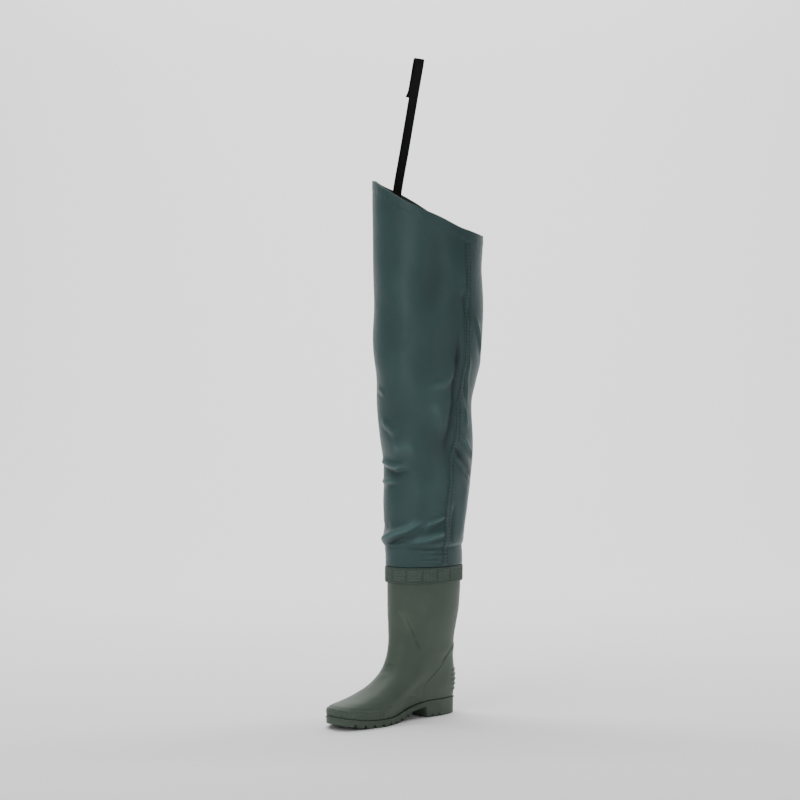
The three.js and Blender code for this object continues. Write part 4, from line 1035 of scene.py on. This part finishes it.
# Rounding of the lip: height over its foot or depth under the seat, and how far in it lies.
LIP_FOOT = ((0.15, 0.45), (0.5, 0.1), (0.9, 0))
LIP_HEAD = ((0.8, 0), (0.25, 0.25), (0, 0.8))
GROOVE_STEP = 0.2  # half the length in which a groove's wall goes up
SOLE_STATIONS, INSOLE_STATIONS = 150, 90
INSOLE_MARGIN = 1
INSOLE_CHAMFER = 0.8
INSOLE_CROWN = 0.6  # by which the sock is lower in its middle
INSOLE_UNDER, INSOLE_OVER = (-1, -0.5, 0, 0.5, 1), (0.8, 0.4, 0, -0.4, -0.8)  # shares of the half width
SOLE_SHARP = 38  # degrees


def ring_points(boot, along, z, grow, share):
    """Points of the sole's outline at the given stations, growth and share of the half width."""
    middle, half, t, _ = boot.station(np.zeros((1, 1)), along[None, :], grow)
    x = middle[0] + share * np.maximum(half[0], 0)
    return np.stack([x, boot.s.heel_centre - t[0], z + 0 * x], -1)


def sole_rings(boot, along):
    """Rings round the sole at shares of its length: straight across the underside, up the side, which comes
    out evenly by its draft, round the lip, back across the top, and down the other side."""
    s = boot.s
    low_grow = s.sole_ledge - s.sole_draft
    column = np.zeros((1, 1))
    lowest = boot.station(column, along, low_grow)[2][0]
    cut = sum((np.abs(lowest - t) < s.groove_width / 2).astype(float) for t in boot.grooves())
    bottom = boot.underside(lowest) + cut * s.lug_depth
    seat = boot.seat(boot.station(column, along, s.sole_ledge)[2][0])
    lip = seat - s.lip_height
    corner = bottom + SOLE_CHAMFER
    side = [(bottom, low_grow - SOLE_CHAMFER)]
    for z in (corner, *(mix(corner, lip, share) for share in SOLE_SIDE)):
        side.append((z, mix(low_grow, s.sole_ledge - s.lip_out, np.clip(z / lip, 0, 1))))
    side += [(lip + up, s.sole_ledge - inwards) for up, inwards in LIP_FOOT]
    side += [(seat - down, s.sole_ledge - inwards) for down, inwards in LIP_HEAD]
    side.append((seat, -s.boot_wall))
    rings = [ring_points(boot, along, *side[0], share) for share in SOLE_ACROSS]
    rings += [ring_points(boot, along, z, grow, 1.0) for z, grow in side]
    rings += [ring_points(boot, along, z, grow, -1.0) for z, grow in side[::-1]]
    return np.stack(rings, 1)


def rounded_stations(count):
    """Shares from 0 to 1 that lie closer together at both ends: half of 1 minus a cosine."""
    return (1 - np.cos(np.linspace(0, np.pi, count))) / 2


class WADER_OT_outsole(bpy.types.Operator):
    """Make the moulded outsole with its lip, heel, tread and grooves"""

    bl_idname = "wader.make_outsole"
    bl_label = "Outsole"

    def execute(self, context):
        s = sizes_of(context.scene)
        boot = BootForm(s)
        low_grow = s.sole_ledge - s.sole_draft
        front, back = s.sole_ledge + s.last_length + low_grow, s.sole_ledge - low_grow
        walls = [t + side * s.groove_width / 2 for t in boot.grooves() for side in (-1, 1)]
        walls.append(TREAD_START * s.sole_length)
        edges = [t + step for t in walls for step in (-GROOVE_STEP, GROOVE_STEP)]
        edges += [s.heel_length, (1 + BREAST_SLANT) * s.heel_length]
        shares = (np.array(edges) - back) / (front - back)
        along = np.unique(np.concatenate([rounded_stations(SOLE_STATIONS), shares]))
        rings = sole_rings(boot, along)
        faces = [quads_of(*rings.shape[:2])[0]]
        piece = mesh_piece("outsole_moulded", rings, faces, sharp=SOLE_SHARP, merge=True)
        material = moulded_pvc("moulded_pvc_sole", context.scene.wader_colours.boot, 0.5)
        dress(piece, material, "boot", "outsole")
        return {"FINISHED"}


class WADER_OT_insole(bpy.types.Operator):
    """Make the knitted sock that lies on the sole inside the boot"""

    bl_idname = "wader.make_insole"
    bl_label = "Insole"

    def execute(self, context):
        s = sizes_of(context.scene)
        boot = BootForm(s)
        along = rounded_stations(INSOLE_STATIONS)
        inset = -(s.boot_wall + INSOLE_MARGIN)
        seat = boot.seat(boot.station(np.zeros((1, 1)), along[None, :], inset)[2][0]) + CLEARANCE
        high = seat + s.insole_thickness
        edge, top = (high - INSOLE_CHAMFER, inset), inset - INSOLE_CHAMFER
        across = [(seat, inset, share) for share in INSOLE_UNDER]
        across += [(*edge, 1), (high, top, 1)]
        across += [(high - INSOLE_CROWN * (1 - share**2), top, share) for share in INSOLE_OVER]
        across += [(high, top, -1), (*edge, -1)]
        rings = np.stack([ring_points(boot, along, z, grow, share) for z, grow, share in across], 1)
        piece = mesh_piece("insole_sock", rings, [quads_of(*rings.shape[:2])[0]], merge=True)
        material = knitted_sock("knitted_lining", context.scene.wader_colours.sock)
        dress(piece, material, "sock", "insole")
        return {"FINISHED"}


# The upper, in mm.

GUARD_EASE, COUNTER_EASE, RIB_EASE = (-0.8, 1.2), (-1.0, 1.4), 0.8  # depths inside an edge where it rises
COUNTER_SLOPE = 0.8  # turns a way forwards into the depth inside the counter's slanted edge
RIB_RUN_OUT = (-3, 1)  # behind the ribs' front ends
UNDERCUT, UNDERCUT_EASE = 0.9, (0.5, 1.7)  # depth of the groove over the sole, and the heights where it ends
STIPPLE_MARGIN, STIPPLE_BACK = 1.2, 1.5  # plain strips along the toe guard's upper and rear edges
STIPPLE_LOW = (1.5, 2.5)  # heights over the sole where the stipple begins
MARK_SPAN = 60  # beyond which a mark has no effect, so that it stays on its own side of the boot
MARK_RUN_OUT = 0.35  # share of its length over which a mark runs out at each end
CREST_HEIGHT = 1.2  # of a mark that gets the full painted highlight
UPPER_COLUMNS, UPPER_INNER_ROWS = 448, 26
UPPER_STOPS, UPPER_ROWS = (0, 0.45, 0.88, 1.0), (102, 78, 9)  # shares of the way up, and rows between
UPPER_CALM = 8  # over which the details run out below the band


def boot_relief(boot, points):
    """How far the moulded details stand out, and where the stipple lies. Guard and counter are raised where
    a point lies inside their edges, the ribs where it lies between their heights, and the lowest edge is
    undercut."""
    s = boot.s
    t, z = s.heel_centre - points[..., 1], points[..., 2]
    above = z - boot.seat(t)
    behind = t - (s.sole_length - s.guard_length) - above
    guard = smoothstep(np.minimum(s.guard_height - above, behind), *GUARD_EASE)
    up = (z - s.heel_height) / s.counter_height
    edge = curve_of(COUNTER_EDGE, "up", "forward")(up) * s.counter_length
    in_counter = np.minimum((edge - t) * COUNTER_SLOPE, (1 - up) * s.counter_height)
    counter = smoothstep(in_counter, *COUNTER_EASE)
    level = (z - s.heel_height - RIBS_START * s.counter_height) / s.rib_pitch
    within = (level % 1) * s.rib_pitch
    rib = smoothstep(within, 0, RIB_EASE) * smoothstep(-within, -s.rib_height, RIB_EASE - s.rib_height)
    rib *= (level > 0) & (level < RIB_COUNT)
    rib *= smoothstep(RIB_REACH * s.counter_length - t, *RIB_RUN_OUT)
    undercut = UNDERCUT * (1 - smoothstep(above, *UNDERCUT_EASE))
    stipple = smoothstep(np.minimum(s.guard_height - STIPPLE_MARGIN - above, behind - STIPPLE_BACK), 0, 1.0)
    stipple *= smoothstep(above, *STIPPLE_LOW)
    return OVERLAY_OUT * np.maximum(guard, counter) + s.rib_out * rib - undercut, stipple


def boot_marks(boot, points, normals):
    """Small ridges and furrows: a bell across the line between each mark's ends, measured along the
    surface."""
    total = np.zeros(points.shape[:2])
    for row in BOOT_MARKS:
        (a0, v0), (a1, v1) = row["ends"]
        ends = boot.loops(np.array([[v0], [v1]]), np.radians([[a0, a1]]))
        start, step = ends[0, 0], ends[1, 1] - ends[0, 0]
        along = np.clip((points - start) @ step / (step @ step), 0, 1)
        away = points - start - along[..., None] * step
        away = np.linalg.norm(away - (away * normals).sum(-1, keepdims=True) * normals, axis=-1)
        bell = np.exp(-((away / row["width"]) ** 2)) * (np.abs(points - start).max(-1) <= MARK_SPAN)
        total += row["out"] * bell * smoothstep(np.minimum(along, 1 - along), 0, MARK_RUN_OUT)
    return total


class WADER_OT_upper(bpy.types.Operator):
    """Make the moulded upper with toe guard, heel counter and kick ribs"""

    bl_idname = "wader.make_upper"
    bl_label = "Upper"

    def execute(self, context):
        s = sizes_of(context.scene)
        boot = BootForm(s)
        angle = round_angles(UPPER_COLUMNS)
        points, normals = boot.surface(stretches(UPPER_STOPS, UPPER_ROWS)[:, None], angle)
        relief, stipple = boot_relief(boot, points)
        marked = boot_marks(boot, points, normals)
        calm = smoothstep(s.band_bottom - points[..., 2], 0, UPPER_CALM)
        outer = points + normals * ((relief + marked) * calm)[..., None]
        outer[0, :, 2] = boot.seat(s.heel_centre - outer[0, :, 1]) + SEAT_GAP
        points, normals = boot.surface(np.linspace(0, 1, UPPER_INNER_ROWS)[:, None], angle)
        inner = points - normals * s.boot_wall
        inner[0, :, 2] = boot.seat(s.heel_centre - inner[0, :, 1]) + CLEARANCE
        # The marks' heights are passed on for a painted highlight on ridges and painted shade in furrows.
        marks = {"stipple": (stipple, 0), "painted_relief_light": (marked / CREST_HEIGHT, 0)}
        piece = wall_piece("upper_moulded", outer, inner, marks)
        material = moulded_pvc("moulded_pvc_boot", context.scene.wader_colours.boot, 0.48)
        dress(piece, material, "boot", "upper", "toe_guard", "heel_counter")
        return {"FINISHED"}


# The band, in mm.

BAND_COLUMNS, BAND_ROWS, BAND_INNER_ROWS = 900, (12, 62, 12), 4
BAND_RIDGE = 3.6  # height of the plain ridge along each edge
RIDGE_OUT, RIDGE_EASE = 0.7, (3.2, 3.9)  # how far it stands out, and the heights where it ends
BAND_ROUNDING, BAND_ROUND_HEIGHT = 0.5, 0.35  # how far the band's edges go in, and over what height
KNURL_PANELS = 15
KNURL_GROUP, GROUP_EASE = 0.87, 0.04  # share of a panel's pitch with diamonds, and where they run out
KNURL_TOP, KNURL_SLOPE = 1.5, 4.0  # a diamond's middle, cut off at 1, and its fall for each pitch from there
BAND_SHARP = 50  # degrees


class WADER_OT_band(bpy.types.Operator):
    """Make the knurled band round the top of the boot"""

    bl_idname = "wader.make_band"
    bl_label = "Band"

    def execute(self, context):
        s = sizes_of(context.scene)
        leg = LegForm(s, BootForm(s))
        angle = round_angles(BAND_COLUMNS)
        up = stretches((0, BAND_RIDGE, s.band_height - BAND_RIDGE, s.band_height), BAND_ROWS)[:, None]
        z = s.band_bottom + up
        foot = leg.bare(z[:1], angle)[0]
        girth = np.linalg.norm(np.diff(np.concatenate([foot, foot[:1]]), axis=0), axis=-1)
        around = walked(girth)[None, :-1]
        inside = smoothstep(up, *RIDGE_EASE) * smoothstep(s.band_height - up, *RIDGE_EASE)
        across = (around / (girth.sum() / KNURL_PANELS)) % 1 - 0.5
        grouped = smoothstep(KNURL_GROUP / 2 - np.abs(across), 0, GROUP_EASE)
        rows, columns = (up - s.band_height / 2) / s.knurl_pitch, around / s.knurl_pitch
        nearest = np.maximum(np.abs((columns + rows) % 1 - 0.5), np.abs((columns - rows) % 1 - 0.5))
        diamond = np.clip(KNURL_TOP - KNURL_SLOPE * nearest, 0, 1) * grouped * inside
        edges = np.exp(-up / BAND_ROUND_HEIGHT) + np.exp(-(s.band_height - up) / BAND_ROUND_HEIGHT)
        out = CLEARANCE + s.band_thickness + RIDGE_OUT * (1 - inside)
        outer = leg.bare(z, angle, out + s.knurl_depth * diamond - BAND_ROUNDING * edges)
        inner_z = np.linspace(s.band_bottom, s.boot_height, BAND_INNER_ROWS)[:, None]
        inner = leg.bare(inner_z, angle, LAID_ON)
        # The diamonds' heights are passed on for the painted highlight on their tips.
        marks = {"tip": (diamond, 0)}
        piece = wall_piece("top_band_knurled", outer, inner, marks, mapped=False, sharp=BAND_SHARP)
        material = moulded_pvc("moulded_pvc_band", context.scene.wader_colours.band, 0.55)
        dress(piece, material, "band", "top_band")
        return {"FINISHED"}


# The leg and its seams, in mm.

LEG_COLUMNS = 232
# Rows of the band's height, the cuff's step and the cuff, then of the leg's lower and upper half outside and
# inside. Most folds are in the lower half.
LEG_LOW_ROWS, LEG_ROWS, LEG_INNER_ROWS = (3, 5, 34), (140, 61), (90, 35)
LEG_HALVES = (0, 0.5, 1)
CREASE_ROOM = 8  # over the cuff, where the crease still has the cuff's close rows
HEM_DROPS, DROPS_HEM = (17.2, 16, 14.5, 13, 9, 5, 1.4, 0.5, 0), 18  # rows below the rim, for such a hem
HEM_FOOT, HEM_ROUND = 5, (-0.3, 1.2)  # heights over its foot and below the rim where the hem thickens
PUCKER, PUCKER_TURNS, PUCKER_AT, PUCKER_WIDTH = 0.22, 37, 16, 5  # ripples along the hem's stitching
PUCKER_DRIFT, DRIFT_TURNS = 2, 5  # by which the ripples lie uneven
INNER_STEP = 4  # the inside has one in so many of the outside's low rows
# Painted highlight and shade of the folds, which grow with their height:
FULL_CREST, CREST_POWER = 5, 1.5  # height of a fold that is fully light, and how dull lower ones stay
STITCH_AT, STITCH_UP = 0.66, 0.75  # shares of a seam's half width and height, where its threads lie
# Half of a seam's section: shares of its half width and height, with a groove for the threads.
SEAM_EDGE = ((1.0, 0.0), (1.0, 0.55), (0.93, 0.95), (0.8, 1.0), (STITCH_AT, STITCH_UP), (0.5, 1.0))
SEAM_PROFILE = [(-across, up) for across, up in SEAM_EDGE] + [(0.0, 1.0), *SEAM_EDGE[::-1]]
SEAM_ROWS = 420
SEAM_EXTRA = 0.2  # thickness beyond that of the solid tape
SEAM_FOOT, SEAM_MARGIN, SEAM_RUN_OUT = 0.5, 0.6, (-1, 3)  # gaps at cuff and hem, and how the ends run out
STITCH_OVER, SEAM_THREAD = 0.35, 1.4  # how far the threads lie over the groove, and how thick they are


class WADER_OT_leg(bpy.types.Operator):
    """Make the folded leg of coated cloth with its hem"""

    bl_idname = "wader.make_leg"
    bl_label = "Leg"

    def execute(self, context):
        s = sizes_of(context.scene)
        leg = LegForm(s, BootForm(s))
        angle = round_angles(LEG_COLUMNS)
        rim = leg.rim(angle)
        foot = s.cuff_top + CREASE_ROOM
        stops = (s.band_bottom + CLEARANCE, s.boot_height, s.boot_height + s.cuff_step, foot)
        low = stretches(stops, LEG_LOW_ROWS)[:-1, None] + 0 * angle
        body = mix(foot, rim - s.hem_height, stretches(LEG_HALVES, LEG_ROWS)[:, None])
        drop = np.array(HEM_DROPS)[:, None] * s.hem_height / DROPS_HEM
        z = np.concatenate([low, body, rim - drop])
        wave = np.sin(angle * PUCKER_TURNS + PUCKER_DRIFT * np.sin(angle * DRIFT_TURNS))
        pucker = PUCKER * wave * np.exp(-((drop - PUCKER_AT) / PUCKER_WIDTH) ** 2)
        thick = HEM_EXTRA * smoothstep(s.hem_height - drop, 0, HEM_FOOT) * smoothstep(drop, *HEM_ROUND)
        outer = leg.surface(z, angle, np.concatenate([0 * low, 0 * body, thick + pucker]))
        inner_body = mix(foot, rim - s.hem_height, stretches(LEG_HALVES, LEG_INNER_ROWS)[::-1, None])
        inner_low = np.concatenate([low[::-INNER_STEP], low[:1]])
        inner_z = np.concatenate([rim - drop[::-1], inner_body, inner_low])
        inner_out = np.concatenate([thick[::-1] + 0 * angle, 0 * inner_body, 0 * inner_low])
        inner = leg.surface(inner_z, angle, -s.leg_wall - inner_out)[::-1]
        # The folds' heights are passed on for a painted highlight on crests and painted shade in furrows.
        painted_relief_light = signed_power(leg.relief(z, angle) / FULL_CREST, CREST_POWER)
        piece = wall_piece("leg_cloth", outer, inner, {"inside": (0, 1), "painted_relief_light": (painted_relief_light, 0)})
        colours = context.scene.wader_colours
        dress(piece, coated_cloth("pvc_coated_polyester", colours.cloth, colours.lining), "cloth", "leg")
        return {"FINISHED"}


class WADER_OT_seams(bpy.types.Operator):
    """Make the lapped side seams and their stitching"""

    bl_idname = "wader.make_seams"
    bl_label = "Side seams"

    def execute(self, context):
        s = sizes_of(context.scene)
        leg = LegForm(s, BootForm(s))
        colours = context.scene.wader_colours
        cloth = coated_cloth("pvc_coated_polyester_seam", colours.cloth, colours.lining)
        across, height = np.array(SEAM_PROFILE).T[:, None, :]
        thickness = s.seam_thickness + SEAM_EXTRA
        lines = []
        for side_name, path in (("inseam", INSEAM), ("outseam", OUTSEAM)):
            low = s.boot_height + s.cuff_step + SEAM_FOOT
            top = float(leg.rim(np.radians(path[-1]["angle"]))) - s.hem_height - SEAM_MARGIN
            z = np.linspace(low, top, SEAM_ROWS)[:, None]
            middle = np.radians(curve_of(path, "up", "angle")((z - s.cuff_top) / s.leg_rise))
            spread = s.seam_width / 2 / leg.reach(z)
            ends = smoothstep(z - low, *SEAM_RUN_OUT) * smoothstep(top - z, *SEAM_RUN_OUT)
            raised = leg.surface(z, middle + across * spread, LAID_ON + thickness * height * ends)
            flat = np.stack([across * s.seam_width / 2 + 0 * z, z + 0 * across], -1)
            flat = np.concatenate([flat, flat[:, :1]], 1)
            flat[:, -1, 0] = -s.seam_width
            dress(bar_piece(side_name + "_lap", raised, flat), cloth, "cloth", side_name + "_tape")
            for side in (-STITCH_AT, STITCH_AT):
                at = middle[:, 0] + side * spread[:, 0]
                line = leg.surface(z[:, 0], at, thickness * STITCH_UP + STITCH_OVER)
                lines.append((line, np.stack([np.sin(at), -np.cos(at), 0 * at], -1)))
        stitches = stitches_piece("seam_stitches", lines, s.stitch_pitch, SEAM_THREAD)
        dress(stitches, sewing_thread("bonded_thread", colours.thread), "cloth")
        return {"FINISHED"}


# The strap and its slider, in mm.

SLIDER_BAR, SLIDER_SLOT, SLIDER_PLATE = 3.0, 7.0, 2.4
SLIDER_CORNER, SLIDER_ROOM = 2.0, 1  # radius of its corners, and room beside the webbing
SLIDER_SIDES = 1.35  # how straight the slider's sides are: a circle that is cut off at 1
SLIDER_POINTS, SLIDER_SECTION, BAR_RINGS = 96, 16, 12
LOOP_CLEARANCE = 0.4  # between webbing and slider
LEG_FACETS = 40  # flat faces round the solid leg, which the webbing clears
TAB_LENGTH, TAB_FOLD, TAB_BEND = 50.0, 0.45, 0.14  # shares where it comes off the leg, and how fast
TAIL_LENGTH = 15  # of the strap below the slider
STRAP_LEAN = 0.27  # inwards for each mm up
LOOP_SPACE = 3.2  # between the two layers of the belt loop
# The belt loop: share of its length up from its low end, and how many layers out it lies.
BELT_LOOP = ((0.94, 0), (0.988, 0.15), (1, 0.5), (0.985, 0.9), (0.94, 1), (0.33, 1), (0.083, 1.2), (-0.05, 2))
WEBBING_COLUMNS, WEBBING_STEPS = 28, 12
FLAT_ACROSS, FLAT_THROUGH = 0.45, 0.5  # powers that square the section of webbing and bars
BACK_FACE_UV = 50  # how far off the webbing's back face lies in its UV map
# The stitched square that holds the tab: its ends below the low bar, its half width, and its threads.
SQUARE_LOW, SQUARE_HIGH, SQUARE_HALF = 46, 32, 8
SQUARE_PITCH, SQUARE_THREAD, SQUARE_OVER, SQUARE_POINTS = 3.0, 1.0, 0.1, 40


class StrapFrame:
    """Place of the strap: u runs from the leg's inner face towards its middle, w is the height, and the
    webbing's width runs along the leg."""

    def __init__(self, s):
        self.s = s
        self.leg = LegForm(s, BootForm(s))
        self.angle = math.radians(OUTSEAM[-1]["angle"])
        self.rim = float(self.leg.rim(self.angle))
        self.middle = self.rim - s.slider_drop
        self.pitch = SLIDER_BAR + SLIDER_SLOT
        self.low_bar, self.high_bar = self.middle - self.pitch, self.middle + self.pitch
        facet = 2 * math.pi / LEG_FACETS
        gap = 3 * CLEARANCE + (1 - math.cos(facet)) / math.sin(facet) * s.strap_width / 2
        self.layer = s.strap_thickness + LOOP_CLEARANCE
        self.tail = gap + s.strap_thickness / 2
        self.back = self.tail + self.layer
        self.hug = s.strap_thickness / 2 + LOOP_CLEARANCE
        self.slider = self.back + self.hug + SLIDER_PLATE / 2
        self.front = self.slider + self.hug + SLIDER_PLATE / 2
        start = self.leg.bare(np.array(self.middle), np.array(self.angle))
        self.inwards = np.array([-math.sin(self.angle), math.cos(self.angle), 0])
        self.sideways = np.cross(self.inwards, [0, 0, 1])
        self.origin = np.array([start[0], start[1], 0]) + s.leg_wall * self.inwards

    def place(self, u, w, side):
        """Points from their u, height and place across the webbing."""
        up = w[..., None] * np.array([0, 0, 1.0])
        return self.origin + u[..., None] * self.inwards + up + side[..., None] * self.sideways

    def inset(self, w):
        """How much narrower the leg is at a height than at the slider."""
        return float(self.leg.half(self.middle) - self.leg.half(w))

    def turn(self, bar, front, up, layers=0):
        """Where webbing turns round a bar's corner."""
        away = (self.hug + layers * self.layer) * math.sqrt(0.5)
        return (self.slider + front * (SLIDER_PLATE / 2 + away), bar + up * (SLIDER_BAR / 2 + away))

    def tab_path(self):
        """Up behind the lowest bar, round it, down in front, and sewn flat to the leg."""
        fold = self.low_bar - TAB_FOLD * TAB_LENGTH
        low, high, end = fold - TAB_BEND * TAB_LENGTH, fold + TAB_BEND * TAB_LENGTH, self.low_bar - TAB_LENGTH
        return [
            (self.tail + self.inset(end), end),
            (self.tail + self.inset(low), low),
            (self.back, high),
            (self.back, self.low_bar),
            self.turn(self.low_bar, -1, 1),
            (self.slider, self.low_bar + SLIDER_BAR / 2 + self.hug),
            self.turn(self.low_bar, 1, 1),
            (self.front, self.low_bar),
            (self.back + self.layer, high),
            (self.tail + self.layer + self.inset(low), low),
            (self.tail + self.layer + self.inset(end), end),
        ]

    def strap_path(self):
        """From the tail behind the tab over the middle bar, up past the rim, leaning to the wearer, and
        outwards over the top into the belt loop."""
        s = self.s
        start = self.rim - s.slider_drop / 4
        loop_low = s.strap_top - s.strap_thickness / 2 - s.loop_length
        path = [
            (self.tail, self.low_bar - TAIL_LENGTH),
            (self.tail, self.low_bar),
            self.turn(self.low_bar, -1, 1, 1),
            (self.slider, self.middle - self.pitch / 2 + SLIDER_SLOT / 8),
            self.turn(self.middle, 1, -1),
            (self.front, self.middle),
            self.turn(self.middle, 1, 1),
            (self.slider, self.middle + self.pitch / 2),
            self.turn(self.high_bar, -1, -1),
            (self.back, self.high_bar),
            (self.back, self.high_bar + 2 * SLIDER_BAR),
        ]
        rising = [(w, 0) for w in (start, (start + loop_low) / 2, loop_low)]
        rising += [(loop_low + up * s.loop_length, out) for up, out in BELT_LOOP]
        span = LOOP_SPACE + s.strap_thickness
        return path + [(self.back + STRAP_LEAN * (w - start) - out * span, w) for w, out in rising]


def flowing(points, per_span):
    """A smooth line through points: a centripetal Catmull-Rom curve, whose spans are cubics with slopes
    from the points beside them, spaced by the square root of their distance."""
    p = np.asarray(points, float)
    p = np.concatenate([2 * p[:1] - p[1:2], p, 2 * p[-1:] - p[-2:-1]])
    gap = np.maximum(np.linalg.norm(np.diff(p, axis=0), axis=1) ** 0.5, 1e-4)[:, None]
    d0, d1, d2 = gap[:-2], gap[1:-1], gap[2:]
    p0, p1, p2, p3 = p[:-3], p[1:-2], p[2:-1], p[3:]
    m1 = ((p1 - p0) / d0 - (p2 - p0) / (d0 + d1) + (p2 - p1) / d1) * d1
    m2 = ((p2 - p1) / d1 - (p3 - p1) / (d1 + d2) + (p3 - p2) / d2) * d1
    u = (np.arange(per_span) / per_span)[None, :, None]
    p1, p2, m1, m2 = (q[:, None] for q in (p1, p2, m1, m2))
    spans = p1 + m1 * u + (3 * (p2 - p1) - 2 * m1 - m2) * u**2 + (2 * (p1 - p2) + m1 + m2) * u**3
    return np.concatenate([spans.reshape(-1, 2), p[-2:-1]])


def webbing_piece(name, at, path):
    """Webbing carried along a path of (u, w): a flat oval with thinner edges, square to the path."""
    line = flowing(path, WEBBING_STEPS)
    ahead = unit(np.gradient(line, axis=0))
    turn = round_angles(WEBBING_COLUMNS)
    side = signed_power(np.cos(turn), FLAT_ACROSS) * at.s.strap_width / 2
    thick = signed_power(np.sin(turn), FLAT_THROUGH) * at.s.strap_thickness / 2
    walk = walked(np.linalg.norm(np.diff(line, axis=0), axis=1))[:, None]
    rings = at.place(line[:, :1] - ahead[:, 1:] * thick, line[:, 1:] + ahead[:, :1] * thick, side)
    uv = np.stack([side + np.where(thick < 0, BACK_FACE_UV, 0) + 0 * walk, walk + 0 * side], -1)
    return bar_piece(name, rings, np.concatenate([uv, uv[:, :1]], 1))


class WADER_OT_strap(bpy.types.Operator):
    """Make the sewn tab, the belt strap and their stitching"""

    bl_idname = "wader.make_strap"
    bl_label = "Strap"

    def execute(self, context):
        s = sizes_of(context.scene)
        at = StrapFrame(s)
        black = context.scene.wader_colours.webbing
        webbing = woven_webbing("polypropylene_webbing", black)
        dress(webbing_piece("tab_webbing", at, at.tab_path()), webbing, "webbing", "strap_tab")
        dress(webbing_piece("strap_webbing", at, at.strap_path()), webbing, "webbing", "strap")
        low, high = at.low_bar - SQUARE_LOW, at.low_bar - SQUARE_HIGH
        corners = [(-SQUARE_HALF, low), (SQUARE_HALF, low), (-SQUARE_HALF, high), (SQUARE_HALF, high)]
        lines = []
        for start, end in ((0, 1), (2, 3), (0, 2), (1, 3)):
            side, w = np.linspace(corners[start], corners[end], SQUARE_POINTS).T
            face = at.tail + at.layer + s.strap_thickness / 2 + SQUARE_OVER
            u = face + np.array([at.inset(height) for height in w])
            lines.append((at.place(u, w, side), np.repeat(at.inwards[None], SQUARE_POINTS, 0)))
        stitches = stitches_piece("strap_stitches", lines, SQUARE_PITCH, SQUARE_THREAD)
        dress(stitches, sewing_thread("bonded_thread_black", tinted(black, 2.2)), "webbing")
        return {"FINISHED"}


class WADER_OT_slider(bpy.types.Operator):
    """Make the moulded three-bar slider"""

    bl_idname = "wader.make_slider"
    bl_label = "Slider"

    def execute(self, context):
        s = sizes_of(context.scene)
        at = StrapFrame(s)
        half_wide = s.strap_width / 2 + SLIDER_ROOM + SLIDER_BAR / 2
        turn = round_angles(SLIDER_POINTS)[0]
        wave = np.stack([np.cos(turn), np.sin(turn)], -1)
        straight = np.array([half_wide, at.pitch]) - SLIDER_CORNER
        path = np.clip(SLIDER_SIDES * wave, -1, 1) * straight + SLIDER_CORNER * wave
        ahead = unit(np.roll(path, -1, 0) - np.roll(path, 1, 0))
        section = round_angles(SLIDER_SECTION)
        fat = signed_power(np.cos(section), FLAT_THROUGH) * SLIDER_BAR / 2
        deep = at.slider + signed_power(np.sin(section), FLAT_THROUGH) * SLIDER_PLATE / 2
        side, w = path[:, :1] + ahead[:, 1:] * fat, at.middle + path[:, 1:] - ahead[:, :1] * fat
        reach = np.linspace(-half_wide, half_wide, BAR_RINGS)[:, None]
        frame_points = at.place(deep + 0 * side, w, side)
        bar_points = at.place(deep + 0 * reach, at.middle + fat + 0 * reach, reach + 0 * fat)
        bodies = [
            (frame_points, [quads_of(*frame_points.shape[:2], ring=True)[0]]),
            (bar_points, [quads_of(*bar_points.shape[:2])[0], end_caps(*bar_points.shape[:2])]),
        ]
        points, faces = np.zeros((0, 3)), []
        for grid, body_faces in bodies:
            body = grid.reshape(-1, 3)
            step = turn_of(body, body_faces)
            faces += [corners[:, ::step] + len(points) for corners in body_faces]
            points = np.concatenate([points, body])
        piece = mesh_piece("slider_moulded", points, faces)
        material = moulded_pvc("moulded_acetal_slider", context.scene.wader_colours.slider, 0.42, 0.5)
        dress(piece, material, "slider", "slider")
        return {"FINISHED"}


class WADER_PT_sidebar(bpy.types.Panel):
    """The wader's pieces, sizes and colours"""

    bl_idname = "WADER_PT_sidebar"
    bl_label = "Hip wader"
    bl_space_type = "VIEW_3D"
    bl_region_type = "UI"
    bl_category = "Wader"

    def draw(self, context):
        for operator in STEPS:
            self.layout.operator(operator.bl_idname)
        for group in (context.scene.wader_sizes, context.scene.wader_colours):
            box = self.layout.box()
            for name in type(group).__annotations__:
                box.prop(group, name)


STEPS = (
    WADER_OT_studio,
    WADER_OT_outsole,
    WADER_OT_insole,
    WADER_OT_upper,
    WADER_OT_band,
    WADER_OT_leg,
    WADER_OT_seams,
    WADER_OT_strap,
    WADER_OT_slider,
)
CLASSES = (WaderSizes, WaderColours, *STEPS, WADER_PT_sidebar)


def register():
    """Adds the classes, and the sizes and colours of each scene."""
    for cls in CLASSES:
        bpy.utils.register_class(cls)
    bpy.types.Scene.wader_sizes = bpy.props.PointerProperty(type=WaderSizes)
    bpy.types.Scene.wader_colours = bpy.props.PointerProperty(type=WaderColours)


def unregister():
    """Takes them away again."""
    del bpy.types.Scene.wader_sizes
    del bpy.types.Scene.wader_colours
    for cls in reversed(CLASSES):
        bpy.utils.unregister_class(cls)


def main():
    """Registers the add-on, then builds every piece in turn."""
    register()
    for operator in STEPS:
        group, action = operator.bl_idname.split(".")
        getattr(getattr(bpy.ops, group), action)()


if __name__ == "__main__":
    main()
